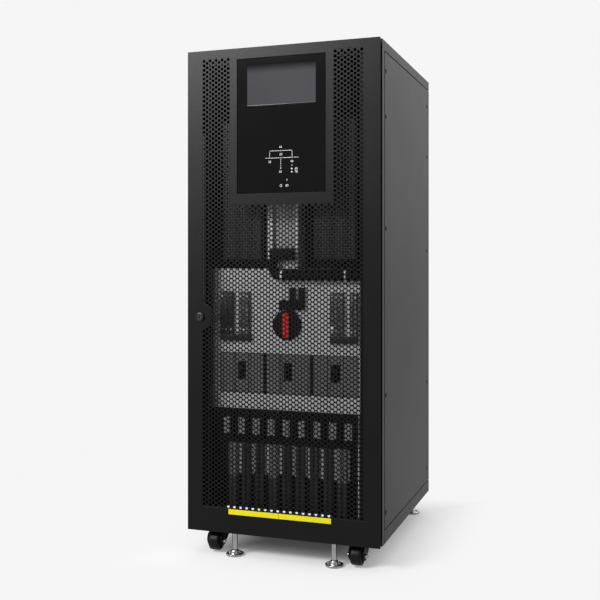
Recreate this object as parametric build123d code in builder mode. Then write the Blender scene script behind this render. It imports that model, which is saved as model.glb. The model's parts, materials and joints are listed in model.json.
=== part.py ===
"""Modular UPS cabinet: a perforated front door with a control panel, hung on a sheet-steel cabinet.

Behind the door stand the switch panel, the power modules, the terminals and their wiring.
Millimetres, +Z up, the door faces -Y, the origin is on the floor under the middle of the cabinet.
"""

import os
from math import ceil, hypot

from build123d import *

os.makedirs("parts", exist_ok=True)

# Cabinet
cabinet_width = 440.0
cabinet_depth = 515.0  # door face to rear panel
body_height = 1060.0
floor_clearance = 52.0  # floor to the underside of the cabinet
sheet = 1.5  # sheet steel of the door and the panels
frame_wall = 2.0  # steel of the frame parts
seam = 2.0  # open joint between neighbouring panels

# Door
door_gap = 14.5  # back of the door sheet to the front frame
hole_across = 7.0
hole_pitch_x = 7.2
hole_pitch_z = 9.78
group_count = 7  # each hole of the solid stands for this many pitches either way
field_side_margin = 36.4  # edge of the door to the perforated field
field_top_margin = 18.1
field_bottom_margin = 54.1
stiffener_inset = 14.0
stiffener_depth = 9.5
stiffener_flange = 8.0

# Key lock
lock_height = 473.0  # above the bottom of the door
lock_from_edge = 31.0
lock_radius = 9.5
lock_proud = 6.0
lock_taper = 1.5
lock_body_across = 15.0
lock_body_depth = 9.0
lock_body_sides = 8
lock_clear = 30.0  # no holes nearer to the lock than this
key_width = 1.6
key_length = 7.0
key_depth = 4.0

# Control panel
panel_width = 203.0
panel_height = 294.0
panel_top_margin = 24.0  # below the top of the door
panel_border = 14.0  # least plain border around the cut-out
panel_thickness = 3.0
panel_lap = 4.0  # behind the edge of its cut-out
display_side_margin = 23.0
display_height = 89.0
display_top_margin = 15.0  # below the top of the panel
display_recess = 1.0
housing_margin = 12.0  # edge of the panel to the housing behind it
housing_clearance = 5.0  # back of the housing to the foremost wiring
housing_fillet = 3.0

# Door hinges
hinge_offset = 4.5  # pin axis in from the edge of the door
hinge_set_back = 3.0  # pin axis behind the back of the door sheet
hinge_radius = 2.7
barrel_sides = 12
hinge_pin_radius = 1.5
hinge_pin_play = 0.1
hinge_barrel = 24.0
hinge_gap = 0.5
hinge_arm = 1.8
hinge_arm_offset = 0.5
hinge_leaf_width = 18.0
knuckle_foot = 7.0
hinge_margin = 130.0  # top and bottom of the door to the hinges

# Frame and panels
frame_depth = 18.0
frame_side = 47.0
frame_bottom = 48.0
frame_top = 30.0
post_size = 25.0
base_height = 28.0
roof_height = 21.0
rear_return = 10.0
panel_return = 12.0
vent_rows = 5
vent_columns = 3
vent_height = 6.0
vent_gap_x = 25.0
vent_pitch_z = 18.0
vent_side_margin = 60.0
vent_end_margin = 120.0
entry_margin = 18.0  # caster cups to the cable entry in the base
entry_depth = 48.0

# Front bay
bulkhead_depth = 100.0  # door face to the wall behind the switchgear
bulkhead_margin = 14.0  # side of the cabinet to the bulkhead
switch_panel_depth = 44.0
switch_panel_margin = 39.0  # side of the cabinet to the switch panel
switch_panel_bottom = 268.0  # above the bottom of the door
switch_panel_height = 311.0

# Breakers
breaker_margin = 20.5  # edge of the switch panel to the first breaker
breaker_gap = 6.0
breaker_height = 87.0
breaker_rise = 36.0  # bottom of the switch panel to the breakers
breaker_recess = 2.0
window_play = 1.0
slot_width = 20.0
slot_height = 40.0
slot_depth = 16.0
slot_rise = 4.5  # above the middle of the breaker
groove_width = 1.5
toggle_width = 12.0
toggle_thickness = 9.0
toggle_reach = 20.0
toggle_tilt = 20.0
toggle_side_play = 0.3
toggle_axis_depth = 9.6

# Bypass switch
switch_rise = 187.5  # bottom of the switch panel to the axis
switch_radius = 32.5
switch_depth = 6.0
handle_width = 16.0
handle_length = 55.0
handle_depth = 8.0
handle_gap = 0.5
handle_shaft_radius = 4.0
handle_shaft_play = 0.1
interlock_depth = 8.0
interlock_rise = 33.5  # axis of the switch to the interlock
interlock_right = 40.6
interlock_height = 49.0
interlock_prong = 12.3
interlock_slot = 9.0
interlock_web = 21.0
interlock_arm_length = 24.6
interlock_arm_height = 21.0

# Surge protection units: distance from the near edge of the switch panel, and width
unit_left_outer = (23.0, 34.0)
unit_left_inner = (72.0, 24.0)
unit_right_outer = (21.0, 16.0)
unit_right_inner = (49.0, 33.0)
unit_depth = 11.0
unit_rise = 166.0  # bottom of the switch panel to the units
unit_height = 94.0
unit_foot_depth = 9.0
unit_foot_height = 14.0
unit_foot_gap = 1.0

# Power modules and centre column
module_margin = 62.5  # side of the cabinet to the module
module_gap = 9.0  # centre column to the nearer module
module_rise = 17.0  # top of the switch panel to the modules
module_headroom = 133.0  # modules to the edge of the roof
module_rim = 5.0
module_recess = 3.0
module_slots = 8
module_slot_width = 5.0
module_slot_depth = 10.0
column_offset = -12.5
column_width = 72.0
column_depth = 50.0
column_lip_left = 12.0
column_lip_right = 7.5
column_recess = 8.0

# Wiring loom
loom_radius = 11.0
loom_sides = 8
loom_gap = 0.5
loom_drop = 14.5  # below the top of the switch panel
loom_riser = -30.5
loom_bend = 20.0
plug_width = 61.0
plug_height = 26.0
plug_rise = 2.0  # bottom of the modules to the plug
plug_offset = -5.5
tie_width = 4.0
tie_thickness = 1.0
tie_near = -8.0
tie_from_frame = 37.0

# Terminals and conductors
terminal_margin = 19.6  # edge of the switch panel to the terminal block
terminal_count = 9
terminal_height = 75.0
terminal_face_depth = 38.0
barrier_thickness = 3.0
barrier_proud = 8.0
barrier_height = 64.0
tab_width = 16.0
tab_height = 36.0
tab_thickness = 3.0
tab_drop = 19.5  # top of the terminal block to the tabs
conductor_converge = 3.5  # the conductors stand this much closer than the terminals
conductor_gap = 9.7
conductor_thickness = 12.0
conductor_chamfer = 3.5
conductor_bottom = 48.0  # above the bottom of the door
conductor_colours = "light dark dark light dark dark dark dark light"
plate_height = 69.0
plate_depth = 46.0
rail_height = 8.0

# Casters
caster_margin = 57.0  # side of the cabinet to the front casters
caster_set_back = 57.0  # door face to the swivel axis of the front casters
rear_caster_margin = 108.0
rear_caster_inset = 65.0  # rear of the cabinet to the swivel axis
caster_trail = 27.0
wheel_radius = 21.5
wheel_width = 24.0
wheel_chamfer = 3.5
wheel_sides = 30
bore_sides = 12
wheel_lift = 4.0  # the wheels hang clear while the cabinet stands on its feet
axle_radius = 3.0
axle_play = 0.15
axle_nut = 5.5
axle_nut_length = 6.0
fork_plate = 2.5
fork_gap = 2.5
fork_crown = 3.0
fork_length = 24.0
crown_width = 44.0
fork_lug = 7.0
king_pin_radius = 5.0
king_pin_play = 0.1
king_pin_proud = 1.0
cup_width = 40.0
cup_height = 31.0
cup_wall = 3.0
crown_gap = 0.5

# Levelling feet
foot_side_margin = 105.5
foot_set_back = 20.0
rear_foot_margin = 37.0
rear_foot_inset = 35.0
foot_radius = 20.0
foot_thickness = 4.0
foot_cone_height = 9.0
stud_radius = 6.0

# Derived places
half_width = cabinet_width / 2
body_bottom = floor_clearance
body_top = body_bottom + body_height
door_middle = body_bottom + body_height / 2
door_face = -(cabinet_depth - lock_proud) / 2
frame_front = sheet + door_gap
frame_back = frame_front + frame_depth
hinge_x = half_width - hinge_offset
hinge_y = door_face + sheet + hinge_set_back
lock_x, lock_z = lock_from_edge - half_width, body_bottom + lock_height
panel_top = body_top - panel_top_margin
panel_middle = panel_top - panel_height / 2
display_width = panel_width - 2 * display_side_margin
display_middle = panel_top - display_top_margin - display_height / 2
base_top = body_bottom + base_height
plate_under = base_top - frame_wall
roof_low = body_top - roof_height
roof_under = body_top - sheet
panel_low, panel_high = base_top + seam, roof_low - seam
switch_low = body_bottom + switch_panel_bottom
switch_high = switch_low + switch_panel_height
switch_half = half_width - switch_panel_margin
switch_z = switch_low + switch_rise
breaker_face = switch_panel_depth + breaker_recess
breaker_width = (2 * (switch_half - breaker_margin) - 2 * breaker_gap) / 3
breaker_pitch = breaker_width + breaker_gap
breaker_z = switch_low + breaker_rise + breaker_height / 2
toggle_z = breaker_z + slot_rise
toggle_axis = breaker_face + toggle_axis_depth
module_low = switch_high + module_rise
module_high = roof_low - module_headroom
module_inner = abs(column_offset) + column_width / 2 + module_gap
module_width = half_width - module_margin - module_inner
module_x = module_inner + module_width / 2
terminal_half = switch_half - terminal_margin
terminal_low = switch_low - terminal_height
terminal_pitch = (2 * terminal_half - 2 * barrier_thickness) / terminal_count
conductor_pitch = terminal_pitch - conductor_converge
conductor_width = conductor_pitch - conductor_gap
rail_top = body_bottom + conductor_bottom
plate_low = terminal_low - plate_height
loom_depth = switch_panel_depth - loom_gap - loom_radius
loom_z = switch_high - loom_drop
front_x, rear_x = half_width - caster_margin, half_width - rear_caster_margin
entry_half = front_x - cup_width / 2 - entry_margin
housing_depth = loom_depth - loom_radius - housing_clearance - sheet - panel_thickness


def facing(depth):
    """Plane parallel to the door, with X to the right and Z up, at a depth behind the door face."""
    return Plane(origin=(0, door_face + depth, 0), x_dir=(1, 0, 0), z_dir=(0, -1, 0))


def across(x):
    """Plane parallel to the sides, with Y to the right and Z up."""
    return Plane(origin=(x, 0, 0), x_dir=(0, 1, 0), z_dir=(1, 0, 0))


def block(x, depth, z, mode=Mode.ADD):
    """Box between two limits each way, its depth counted from the door face."""
    with Locations(((x[0] + x[1]) / 2, door_face + (depth[0] + depth[1]) / 2, (z[0] + z[1]) / 2)):
        Box(x[1] - x[0], depth[1] - depth[0], z[1] - z[0], mode=mode)


def save(part, node):
    part.label = node
    export_step(part, f"parts/{node}.step")


# Perforated field: whole tiles of the hole pattern, less those around the control panel and the lock
hole_columns = round((cabinet_width - 2 * field_side_margin) / hole_pitch_x)
hole_rows = round((body_height - field_top_margin - field_bottom_margin) / hole_pitch_z)
blank_columns = 2 * ceil((panel_width / 2 + panel_border) / hole_pitch_x - 0.5) + 1
blank_rows = ceil((panel_top_margin + panel_height + panel_border - field_top_margin) / hole_pitch_z)
field_half = hole_columns * hole_pitch_x / 2
field_high = body_top - field_top_margin
field_low = field_high - hole_rows * hole_pitch_z
blank_half = blank_columns * hole_pitch_x / 2
blank_low = field_high - blank_rows * hole_pitch_z

with BuildSketch(facing(0)) as field:
    with Locations((0, (field_low + field_high) / 2)):
        Rectangle(2 * field_half, field_high - field_low)
    with Locations((0, (blank_low + field_high) / 2)):
        Rectangle(2 * blank_half, field_high - blank_low, mode=Mode.SUBTRACT)
    for column in range(hole_columns):
        x = hole_pitch_x * (column + 0.5) - field_half
        top_hole = field_high - hole_pitch_z * (1 + column % 2) / 2
        heights = [top_hole - hole_pitch_z * row for row in range(hole_rows)]
        missing = [z for z in heights if hypot(x - lock_x, z - lock_z) < lock_clear]
        if missing:
            with Locations((x, (missing[0] + missing[-1]) / 2)):
                Rectangle(hole_pitch_x, missing[0] - missing[-1] + hole_pitch_z, mode=Mode.SUBTRACT)

with BuildPart() as door_skin:
    with BuildSketch(facing(0)):
        with Locations((0, door_middle)):
            Rectangle(cabinet_width, body_height)
        with Locations((0, panel_middle)):
            Rectangle(panel_width, panel_height, mode=Mode.SUBTRACT)
        with Locations((lock_x, lock_z)):
            RegularPolygon(lock_body_across / 2, lock_body_sides, major_radius=False, mode=Mode.SUBTRACT)
        add(field.sketch_local, mode=Mode.SUBTRACT)
    extrude(amount=-sheet)
save(door_skin.part, "door_skin")

# Staggered holes of the field, drawn in groups
group_x, group_z = hole_pitch_x * group_count, hole_pitch_z * group_count
group_radius = hole_across * group_count / 2
group_columns = int(2 * field_half // group_x)
holes = []
for column in range(group_columns):
    x = group_x * (column - (group_columns - 1) / 2)
    z = field_high - group_z * (1 + column % 2) / 2
    while z - group_radius > field_low:
        beside_panel = abs(x) > blank_half + group_radius or z < blank_low - group_radius
        if beside_panel and hypot(x - lock_x, z - lock_z) > lock_clear + hole_across + group_radius:
            holes.append((x, z))
        z -= group_z

with BuildPart() as door_mesh:
    with BuildSketch(facing(0)):
        add(field.sketch_local)
        with Locations(*holes):
            RegularPolygon(group_radius, 6, mode=Mode.SUBTRACT)
    extrude(amount=-sheet)
save(door_mesh.part, "door_mesh")

# Folded stiffener inside the edge of the door
with BuildPart() as door_stiffener:
    outer_w, outer_h = cabinet_width - 2 * stiffener_inset, body_height - 2 * stiffener_inset
    with BuildSketch(facing(sheet)):
        with Locations((0, door_middle)):
            Rectangle(outer_w, outer_h)
            Rectangle(outer_w - 2 * stiffener_flange, outer_h - 2 * stiffener_flange, mode=Mode.SUBTRACT)
    extrude(amount=-stiffener_depth)
    with BuildSketch(facing(sheet)):
        with Locations((0, door_middle)):
            Rectangle(outer_w - 2 * sheet, outer_h - 2 * sheet)
    extrude(amount=-(stiffener_depth - sheet), mode=Mode.SUBTRACT)
save(door_stiffener.part, "door_stiffener")

# Control panel behind its cut-out, the display in it and the housing behind
with BuildPart() as control_panel:
    with BuildSketch(facing(sheet)):
        with Locations((0, panel_middle)):
            Rectangle(panel_width + 2 * panel_lap, panel_height + 2 * panel_lap)
        with Locations((0, display_middle)):
            Rectangle(display_width, display_height, mode=Mode.SUBTRACT)
    extrude(amount=-panel_thickness)
save(control_panel.part, "control_panel")

with BuildPart() as display_window:
    with BuildSketch(facing(sheet + display_recess)):
        with Locations((0, display_middle)):
            Rectangle(display_width, display_height)
    extrude(amount=-(panel_thickness - display_recess))
save(display_window.part, "display_window")

with BuildPart() as control_housing:
    with BuildSketch(facing(sheet + panel_thickness)):
        with Locations((0, panel_middle)):
            Rectangle(panel_width - 2 * housing_margin, panel_height - 2 * housing_margin)
    extrude(amount=-housing_depth)
    fillet(control_housing.faces().sort_by(Axis.Y)[-1].edges(), housing_fillet)
save(control_housing.part, "control_housing")

# Key lock: a turned rim on a body with flats, and the key slot
with BuildPart() as door_lock:
    with BuildSketch(Plane.XY.offset(lock_z)):
        with BuildLine():
            Polyline(
                (lock_x, door_face),
                (lock_x + lock_radius, door_face),
                (lock_x + lock_radius - lock_taper, door_face - lock_proud),
                (lock_x, door_face - lock_proud),
                close=True,
            )
        make_face()
    revolve(axis=Axis((lock_x, 0, lock_z), (0, 1, 0)))
    with BuildSketch(facing(0)):
        with Locations((lock_x, lock_z)):
            RegularPolygon(lock_body_across / 2, lock_body_sides, major_radius=False)
    extrude(amount=-sheet - lock_body_depth)
    with BuildSketch(facing(-lock_proud)):
        with Locations((lock_x, lock_z)):
            Rectangle(key_width, key_length)
    extrude(amount=-key_depth, mode=Mode.SUBTRACT)
save(door_lock.part, "door_lock")

# Lift-off hinges: arms with the pins on the front frame, and knuckles on the door above them
hinge_lows = (body_bottom + hinge_margin, body_top - hinge_margin - 2 * hinge_barrel)

with BuildPart() as hinge_leaves:
    for low in hinge_lows:
        with BuildSketch(Plane.XY.offset(low)):
            with Locations((hinge_x, hinge_y)):
                RegularPolygon(hinge_radius, barrel_sides)
            with BuildLine():
                frame_y = door_face + frame_front
                arm_x = hinge_x - hinge_arm_offset
                Polyline(
                    (arm_x, hinge_y),
                    (arm_x, frame_y),
                    (arm_x - hinge_leaf_width, frame_y),
                    (arm_x - hinge_leaf_width, frame_y - hinge_arm),
                    (arm_x - hinge_arm, frame_y - hinge_arm),
                    (arm_x - hinge_arm, hinge_y),
                    close=True,
                )
            make_face()
        extrude(amount=hinge_barrel)
        with BuildSketch(Plane.XY.offset(low + hinge_barrel)):
            with Locations((hinge_x, hinge_y)):
                Circle(hinge_pin_radius)
        extrude(amount=hinge_barrel)
save(hinge_leaves.part, "hinge_leaves")

with BuildPart() as door_knuckles:
    for low in hinge_lows:
        with BuildSketch(Plane.XY.offset(low + hinge_barrel + hinge_gap)):
            with Locations((hinge_x, hinge_y)):
                RegularPolygon(hinge_radius, barrel_sides)
            with Locations((hinge_x - knuckle_foot / 2, hinge_y - hinge_set_back / 2)):
                Rectangle(knuckle_foot, hinge_set_back)
            with Locations((hinge_x, hinge_y)):
                bore = hinge_pin_radius + hinge_pin_play
                RegularPolygon(bore, barrel_sides, major_radius=False, mode=Mode.SUBTRACT)
        extrude(amount=hinge_barrel - hinge_gap)
save(door_knuckles.part, "door_knuckles")

# Front frame: a ring shelled from the back, so that its section is a channel
open_half = half_width - frame_side
with BuildPart() as front_frame:
    block((-half_width, half_width), (frame_front, frame_back), (body_bottom, body_top))
    opening = (body_bottom + frame_bottom, body_top - frame_top)
    block((-open_half, open_half), (frame_front, frame_back), opening, Mode.SUBTRACT)
    offset(amount=-frame_wall, openings=front_frame.faces().sort_by(Axis.Y)[-1])
save(front_frame.part, "front_frame")

# Base: a pan open below and in front, with the cable entry in its plate
entry_front = (frame_back + bulkhead_depth - entry_depth) / 2
with BuildPart() as base_frame:
    block((-half_width, half_width), (frame_back + seam, cabinet_depth), (body_bottom, base_top))
    sides = base_frame.faces()
    offset(amount=-frame_wall, openings=[sides.sort_by(Axis.Z)[0], sides.sort_by(Axis.Y)[0]])
    inner = half_width - frame_wall
    block((-inner, inner), (frame_back, frame_back + seam), (plate_under, base_top))
    entry = (entry_front, entry_front + entry_depth)
    block((-entry_half, entry_half), entry, (plate_under, base_top), Mode.SUBTRACT)
save(base_frame.part, "base_frame")

# Corner posts: square tubes between the base and the roof
post_x = half_width - sheet - post_size / 2
post_depths = (frame_back + seam + post_size / 2, cabinet_depth - sheet - post_size / 2)
with BuildPart() as corner_posts:
    with BuildSketch(Plane.XY.offset(base_top)):
        with Locations(*[(side * post_x, door_face + depth) for side in (-1, 1) for depth in post_depths]):
            Rectangle(post_size, post_size)
            Rectangle(post_size - 2 * frame_wall, post_size - 2 * frame_wall, mode=Mode.SUBTRACT)
    extrude(amount=roof_under - base_top)
save(corner_posts.part, "corner_posts")

# Side panels: a sheet with a return along the top and the bottom, between the posts
post_reach = post_size + seam
with BuildPart() as right_side_panel:
    panel_span = (frame_back + 2 * seam, cabinet_depth - rear_return - seam)
    block((half_width - sheet, half_width), panel_span, (panel_low, panel_high))
    returns = (frame_back + seam + post_reach, cabinet_depth - sheet - post_reach)
    for low in (panel_low, panel_high - sheet):
        block((half_width - panel_return, half_width - sheet), returns, (low, low + sheet))
save(right_side_panel.part, "right_side_panel")

with BuildPart() as left_side_panel:
    mirror(right_side_panel.part, about=Plane.YZ)
save(left_side_panel.part, "left_side_panel")

# Roof: a pan open below and in front
with BuildPart() as roof:
    block((-half_width, half_width), (frame_back, cabinet_depth), (roof_low, body_top))
    sides = roof.faces()
    offset(amount=-sheet, openings=[sides.sort_by(Axis.Z)[0], sides.sort_by(Axis.Y)[0]])
save(roof.part, "roof")

# Rear panel: a pan with banks of vent slots
vent_length = (cabinet_width - 2 * vent_side_margin - (vent_columns - 1) * vent_gap_x) / vent_columns
with BuildPart() as rear_panel:
    block((-half_width, half_width), (cabinet_depth - rear_return, cabinet_depth), (panel_low, panel_high))
    sides = rear_panel.faces()
    ends = [sides.sort_by(Axis.Z)[0], sides.sort_by(Axis.Z)[-1]]
    offset(amount=-sheet, openings=[sides.sort_by(Axis.Y)[0], *ends])
    with BuildSketch(facing(cabinet_depth)):
        for middle in (panel_low + vent_end_margin, panel_high - vent_end_margin):
            with Locations((0, middle)):
                with GridLocations(vent_length + vent_gap_x, vent_pitch_z, vent_columns, vent_rows):
                    Rectangle(vent_length, vent_height)
    extrude(amount=sheet, mode=Mode.SUBTRACT)
save(rear_panel.part, "rear_panel")

# Bulkhead behind the switchgear
with BuildPart() as bulkhead:
    with BuildSketch(facing(bulkhead_depth)):
        with Locations((0, (base_top + roof_under) / 2)):
            Rectangle(cabinet_width - 2 * bulkhead_margin, roof_under - base_top)
    extrude(amount=-frame_wall)
save(bulkhead.part, "bulkhead")

# Switch panel: a tray open to the bulkhead, with one window for the three breakers
with BuildPart() as switch_panel:
    block((-switch_half, switch_half), (switch_panel_depth, bulkhead_depth), (switch_low, switch_high))
    offset(amount=-sheet, openings=switch_panel.faces().sort_by(Axis.Y)[-1])
    with BuildSketch(facing(switch_panel_depth)):
        with Locations((0, breaker_z)):
            window = 2 * breaker_pitch + breaker_width + 2 * window_play
            Rectangle(window, breaker_height + 2 * window_play)
    extrude(amount=-sheet, mode=Mode.SUBTRACT)
save(switch_panel.part, "switch_panel")

# Breakers: three poles each, with the slot of the toggle
with BuildPart() as breakers:
    with BuildSketch(facing(breaker_face)):
        with Locations((0, breaker_z)):
            with GridLocations(breaker_pitch, 0, 3, 1):
                Rectangle(breaker_width, breaker_height)
    extrude(amount=breaker_face - bulkhead_depth)
    with BuildSketch(facing(breaker_face)):
        with Locations((0, toggle_z)):
            with GridLocations(breaker_pitch, 0, 3, 1):
                Rectangle(slot_width, slot_height)
    extrude(amount=-slot_depth, mode=Mode.SUBTRACT)
    with BuildSketch(facing(breaker_face)):
        with Locations((0, breaker_z)):
            with GridLocations(breaker_pitch, 0, 3, 1):
                with GridLocations(breaker_width / 3, 0, 2, 1):
                    Rectangle(groove_width, breaker_height)
    extrude(amount=-groove_width, mode=Mode.SUBTRACT)
save(breakers.part, "breakers")

# Toggles: a lever on a hub between the cheeks of its slot, tilted up in the closed position
for node, place in (("toggle_left", -1), ("toggle_centre", 0), ("toggle_right", 1)):
    pivot = Location((place * breaker_pitch, door_face + toggle_axis, toggle_z), (-toggle_tilt, 0, 0))
    with BuildPart() as toggle:
        with BuildSketch(across(0)):
            Circle(toggle_thickness / 2)
        extrude(amount=slot_width / 2 - toggle_side_play, both=True)
        with BuildSketch(across(0)):
            Polygon(
                (0, -toggle_thickness / 2),
                (0, toggle_thickness / 2),
                (-toggle_reach, toggle_thickness / 3),
                (-toggle_reach, -toggle_thickness / 3),
                align=None,
            )
        extrude(amount=toggle_width / 2, both=True)
    save(toggle.part.moved(pivot), node)

# Bypass switch: disc, turning handle and the interlock above it
with BuildPart() as switch_base:
    with BuildSketch(facing(switch_panel_depth)):
        with Locations((0, switch_z)):
            Circle(switch_radius)
            bore = handle_shaft_radius + handle_shaft_play
            RegularPolygon(bore, bore_sides, major_radius=False, mode=Mode.SUBTRACT)
    extrude(amount=switch_depth)
save(switch_base.part, "switch_base")

handle_back = switch_panel_depth - switch_depth - handle_gap
with BuildPart() as switch_handle:
    with BuildSketch(facing(handle_back)):
        with Locations((0, switch_z)):
            SlotOverall(handle_length, handle_width, rotation=90)
    extrude(amount=handle_depth)
    with BuildSketch(facing(handle_back)):
        with Locations((0, switch_z)):
            Circle(handle_shaft_radius)
    extrude(amount=-switch_depth)
save(switch_handle.part, "switch_handle")

with BuildPart() as switch_interlock:
    low = switch_z + interlock_rise
    prong_right = interlock_right - interlock_prong
    prong_left = prong_right - interlock_slot
    left = prong_left - interlock_prong
    with BuildSketch(facing(switch_panel_depth)):
        Polygon(
            (left - interlock_arm_length, low),
            (interlock_right, low),
            (interlock_right, low + interlock_height),
            (prong_right, low + interlock_height),
            (prong_right, low + interlock_web),
            (prong_left, low + interlock_web),
            (prong_left, low + interlock_height),
            (left, low + interlock_height),
            (left, low + interlock_arm_height),
            (left - interlock_arm_length, low + interlock_arm_height),
            align=None,
        )
    extrude(amount=interlock_depth)
save(switch_interlock.part, "switch_interlock")

# Surge protection units either side of the switch, each pair on a common foot
unit_low = switch_low + unit_rise
with BuildPart() as surge_units:
    pairs = ((-1, unit_left_outer, unit_left_inner), (1, unit_right_outer, unit_right_inner))
    for side, outer, inner in pairs:
        with BuildSketch(facing(switch_panel_depth)):
            for edge, width in (outer, inner):
                with Locations((side * (switch_half - edge - width / 2), unit_low + unit_height / 2)):
                    Rectangle(width, unit_height)
        extrude(amount=unit_depth)
        span = inner[0] + inner[1] - outer[0]
        with BuildSketch(facing(switch_panel_depth)):
            foot_middle = unit_low - unit_foot_gap - unit_foot_height / 2
            with Locations((side * (switch_half - outer[0] - span / 2), foot_middle)):
                Rectangle(span, unit_foot_height)
        extrude(amount=unit_foot_depth)
save(surge_units.part, "surge_units")

# Power modules: a recessed front with a row of slots inside the rim
with BuildPart() as power_modules:
    module_middle = (module_low + module_high) / 2
    with BuildSketch(facing(switch_panel_depth)):
        with Locations((0, module_middle)):
            with GridLocations(2 * module_x, 0, 2, 1):
                Rectangle(module_width, module_high - module_low)
    extrude(amount=switch_panel_depth - bulkhead_depth)
    with BuildSketch(facing(switch_panel_depth)):
        with Locations((0, module_middle)):
            with GridLocations(2 * module_x, 0, 2, 1):
                Rectangle(module_width - 2 * module_rim, module_high - module_low - 2 * module_rim)
    extrude(amount=-module_recess, mode=Mode.SUBTRACT)
    with BuildSketch(facing(switch_panel_depth + module_recess)):
        slot_pitch = (module_width - 2 * module_rim) / module_slots
        with Locations((0, module_middle)):
            with GridLocations(2 * module_x, 0, 2, 1):
                with GridLocations(slot_pitch, 0, module_slots, 1):
                    Rectangle(module_slot_width, module_high - module_low - 4 * module_rim)
    extrude(amount=-module_slot_depth, mode=Mode.SUBTRACT)
save(power_modules.part, "power_modules")

# Centre column between the modules: one sheet folded to a channel with a recessed front
with BuildPart() as centre_column:
    left, right = column_offset - column_width / 2, column_offset + column_width / 2
    back, front = door_face + bulkhead_depth, door_face + column_depth
    with BuildSketch(Plane.XY.offset(switch_high)):
        with BuildLine():
            fold = Polyline(
                (left, back),
                (left, front),
                (left + column_lip_left, front),
                (left + column_lip_left, front + column_recess),
                (right - column_lip_right, front + column_recess),
                (right - column_lip_right, front),
                (right, front),
                (right, back),
            )
            offset(fold, amount=sheet, kind=Kind.INTERSECTION, side=Side.LEFT)
        make_face()
    extrude(amount=module_high - switch_high)
save(centre_column.part, "centre_column")

# Wiring loom from the frame to its plug on the centre column
plug_low = module_low + plug_rise
with BuildPart() as wiring_loom:
    with BuildLine(facing(loom_depth)) as route:
        Line((open_half, loom_z), (loom_riser + loom_bend, loom_z))
        JernArc((loom_riser + loom_bend, loom_z), (-1, 0), loom_bend, -90)
        Line((loom_riser, loom_z + loom_bend), (loom_riser, plug_low))
    with BuildSketch(Plane(origin=route.line @ 0, x_dir=(0, 0, 1), z_dir=(-1, 0, 0))):
        RegularPolygon(loom_radius, loom_sides)
    sweep()
    with BuildSketch(facing(column_depth)):
        with Locations((plug_offset, plug_low + plug_height / 2)):
            Rectangle(plug_width, plug_height)
    extrude(amount=column_depth - loom_depth + loom_radius)
save(wiring_loom.part, "wiring_loom")

with BuildPart() as cable_ties:
    for x in (tie_near, open_half - tie_from_frame):
        middle = (x, door_face + loom_depth, loom_z)
        with BuildSketch(Plane(origin=middle, x_dir=(0, 0, 1), z_dir=(-1, 0, 0))):
            RegularPolygon(loom_radius + tie_thickness, loom_sides)
            RegularPolygon(loom_radius, loom_sides, mode=Mode.SUBTRACT)
        extrude(amount=tie_width / 2, both=True)
    near_loom = (loom_z - 2 * loom_radius, loom_z + 2 * loom_radius)
    block((-half_width, half_width), (switch_panel_depth, bulkhead_depth), near_loom, Mode.SUBTRACT)
save(cable_ties.part, "cable_ties")

# Terminal block with its barriers, and the rail under the conductors
with BuildPart() as terminal_block:
    block((-terminal_half, terminal_half), (terminal_face_depth, bulkhead_depth), (terminal_low, switch_low))
    with BuildSketch(facing(terminal_face_depth)):
        with Locations((0, switch_low - barrier_height / 2)):
            with GridLocations(terminal_pitch, 0, terminal_count + 1, 1):
                Rectangle(barrier_thickness, barrier_height)
    extrude(amount=barrier_proud)
    rail = (plate_depth - conductor_thickness, bulkhead_depth)
    block((-terminal_half, terminal_half), rail, (rail_top - rail_height, rail_top))
save(terminal_block.part, "terminal_block")

with BuildPart() as terminal_tabs:
    with BuildSketch(facing(terminal_face_depth)):
        with Locations((0, switch_low - tab_drop - tab_height / 2)):
            with GridLocations(terminal_pitch, 0, terminal_count, 1):
                Rectangle(tab_width, tab_height)
    extrude(amount=tab_thickness)
save(terminal_tabs.part, "terminal_tabs")

# Sleeved conductors from the terminals down to the rail
for colour in ("dark", "light"):
    with BuildPart() as conductors:
        with BuildSketch(Plane.XY.offset(rail_top)) as sleeves:
            for i, sleeve in enumerate(conductor_colours.split()):
                if sleeve == colour:
                    x = conductor_pitch * (i - (terminal_count - 1) / 2)
                    with Locations((x, door_face + plate_depth - conductor_thickness / 2)):
                        Rectangle(conductor_width, conductor_thickness)
            chamfer(sleeves.vertices(), conductor_chamfer)
        extrude(amount=terminal_low - rail_top)
    save(conductors.part, f"{colour}_conductors")

# Backing plate of the conductors
with BuildPart() as backing_plate:
    block((-terminal_half, terminal_half), (plate_depth, bulkhead_depth), (plate_low, terminal_low))
    offset(amount=-sheet, openings=backing_plate.faces().sort_by(Axis.Y)[-1])
save(backing_plate.part, "backing_plate")

# Caster cups under the base plate
front_y, rear_y = door_face + caster_set_back, door_face + cabinet_depth - rear_caster_inset
casters = {
    "front_left": (-front_x, front_y),
    "front_right": (front_x, front_y),
    "rear_left": (-rear_x, rear_y),
    "rear_right": (rear_x, rear_y),
}
cup_low = plate_under - cup_height
with BuildPart() as caster_plates:
    with BuildSketch(Plane.XY.offset(cup_low)):
        with Locations(*casters.values()):
            Rectangle(cup_width, cup_width)
    extrude(amount=cup_height)
    with BuildSketch(Plane.XY.offset(cup_low + cup_wall)):
        with Locations(*casters.values()):
            Rectangle(cup_width - 2 * cup_wall, cup_width - 2 * cup_wall)
    extrude(amount=cup_height, mode=Mode.SUBTRACT)
    with BuildSketch(Plane.XY.offset(cup_low)):
        with Locations(*casters.values()):
            RegularPolygon(king_pin_radius + king_pin_play, bore_sides, major_radius=False)
    extrude(amount=cup_wall, mode=Mode.SUBTRACT)
save(caster_plates.part, "caster_plates")

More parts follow.
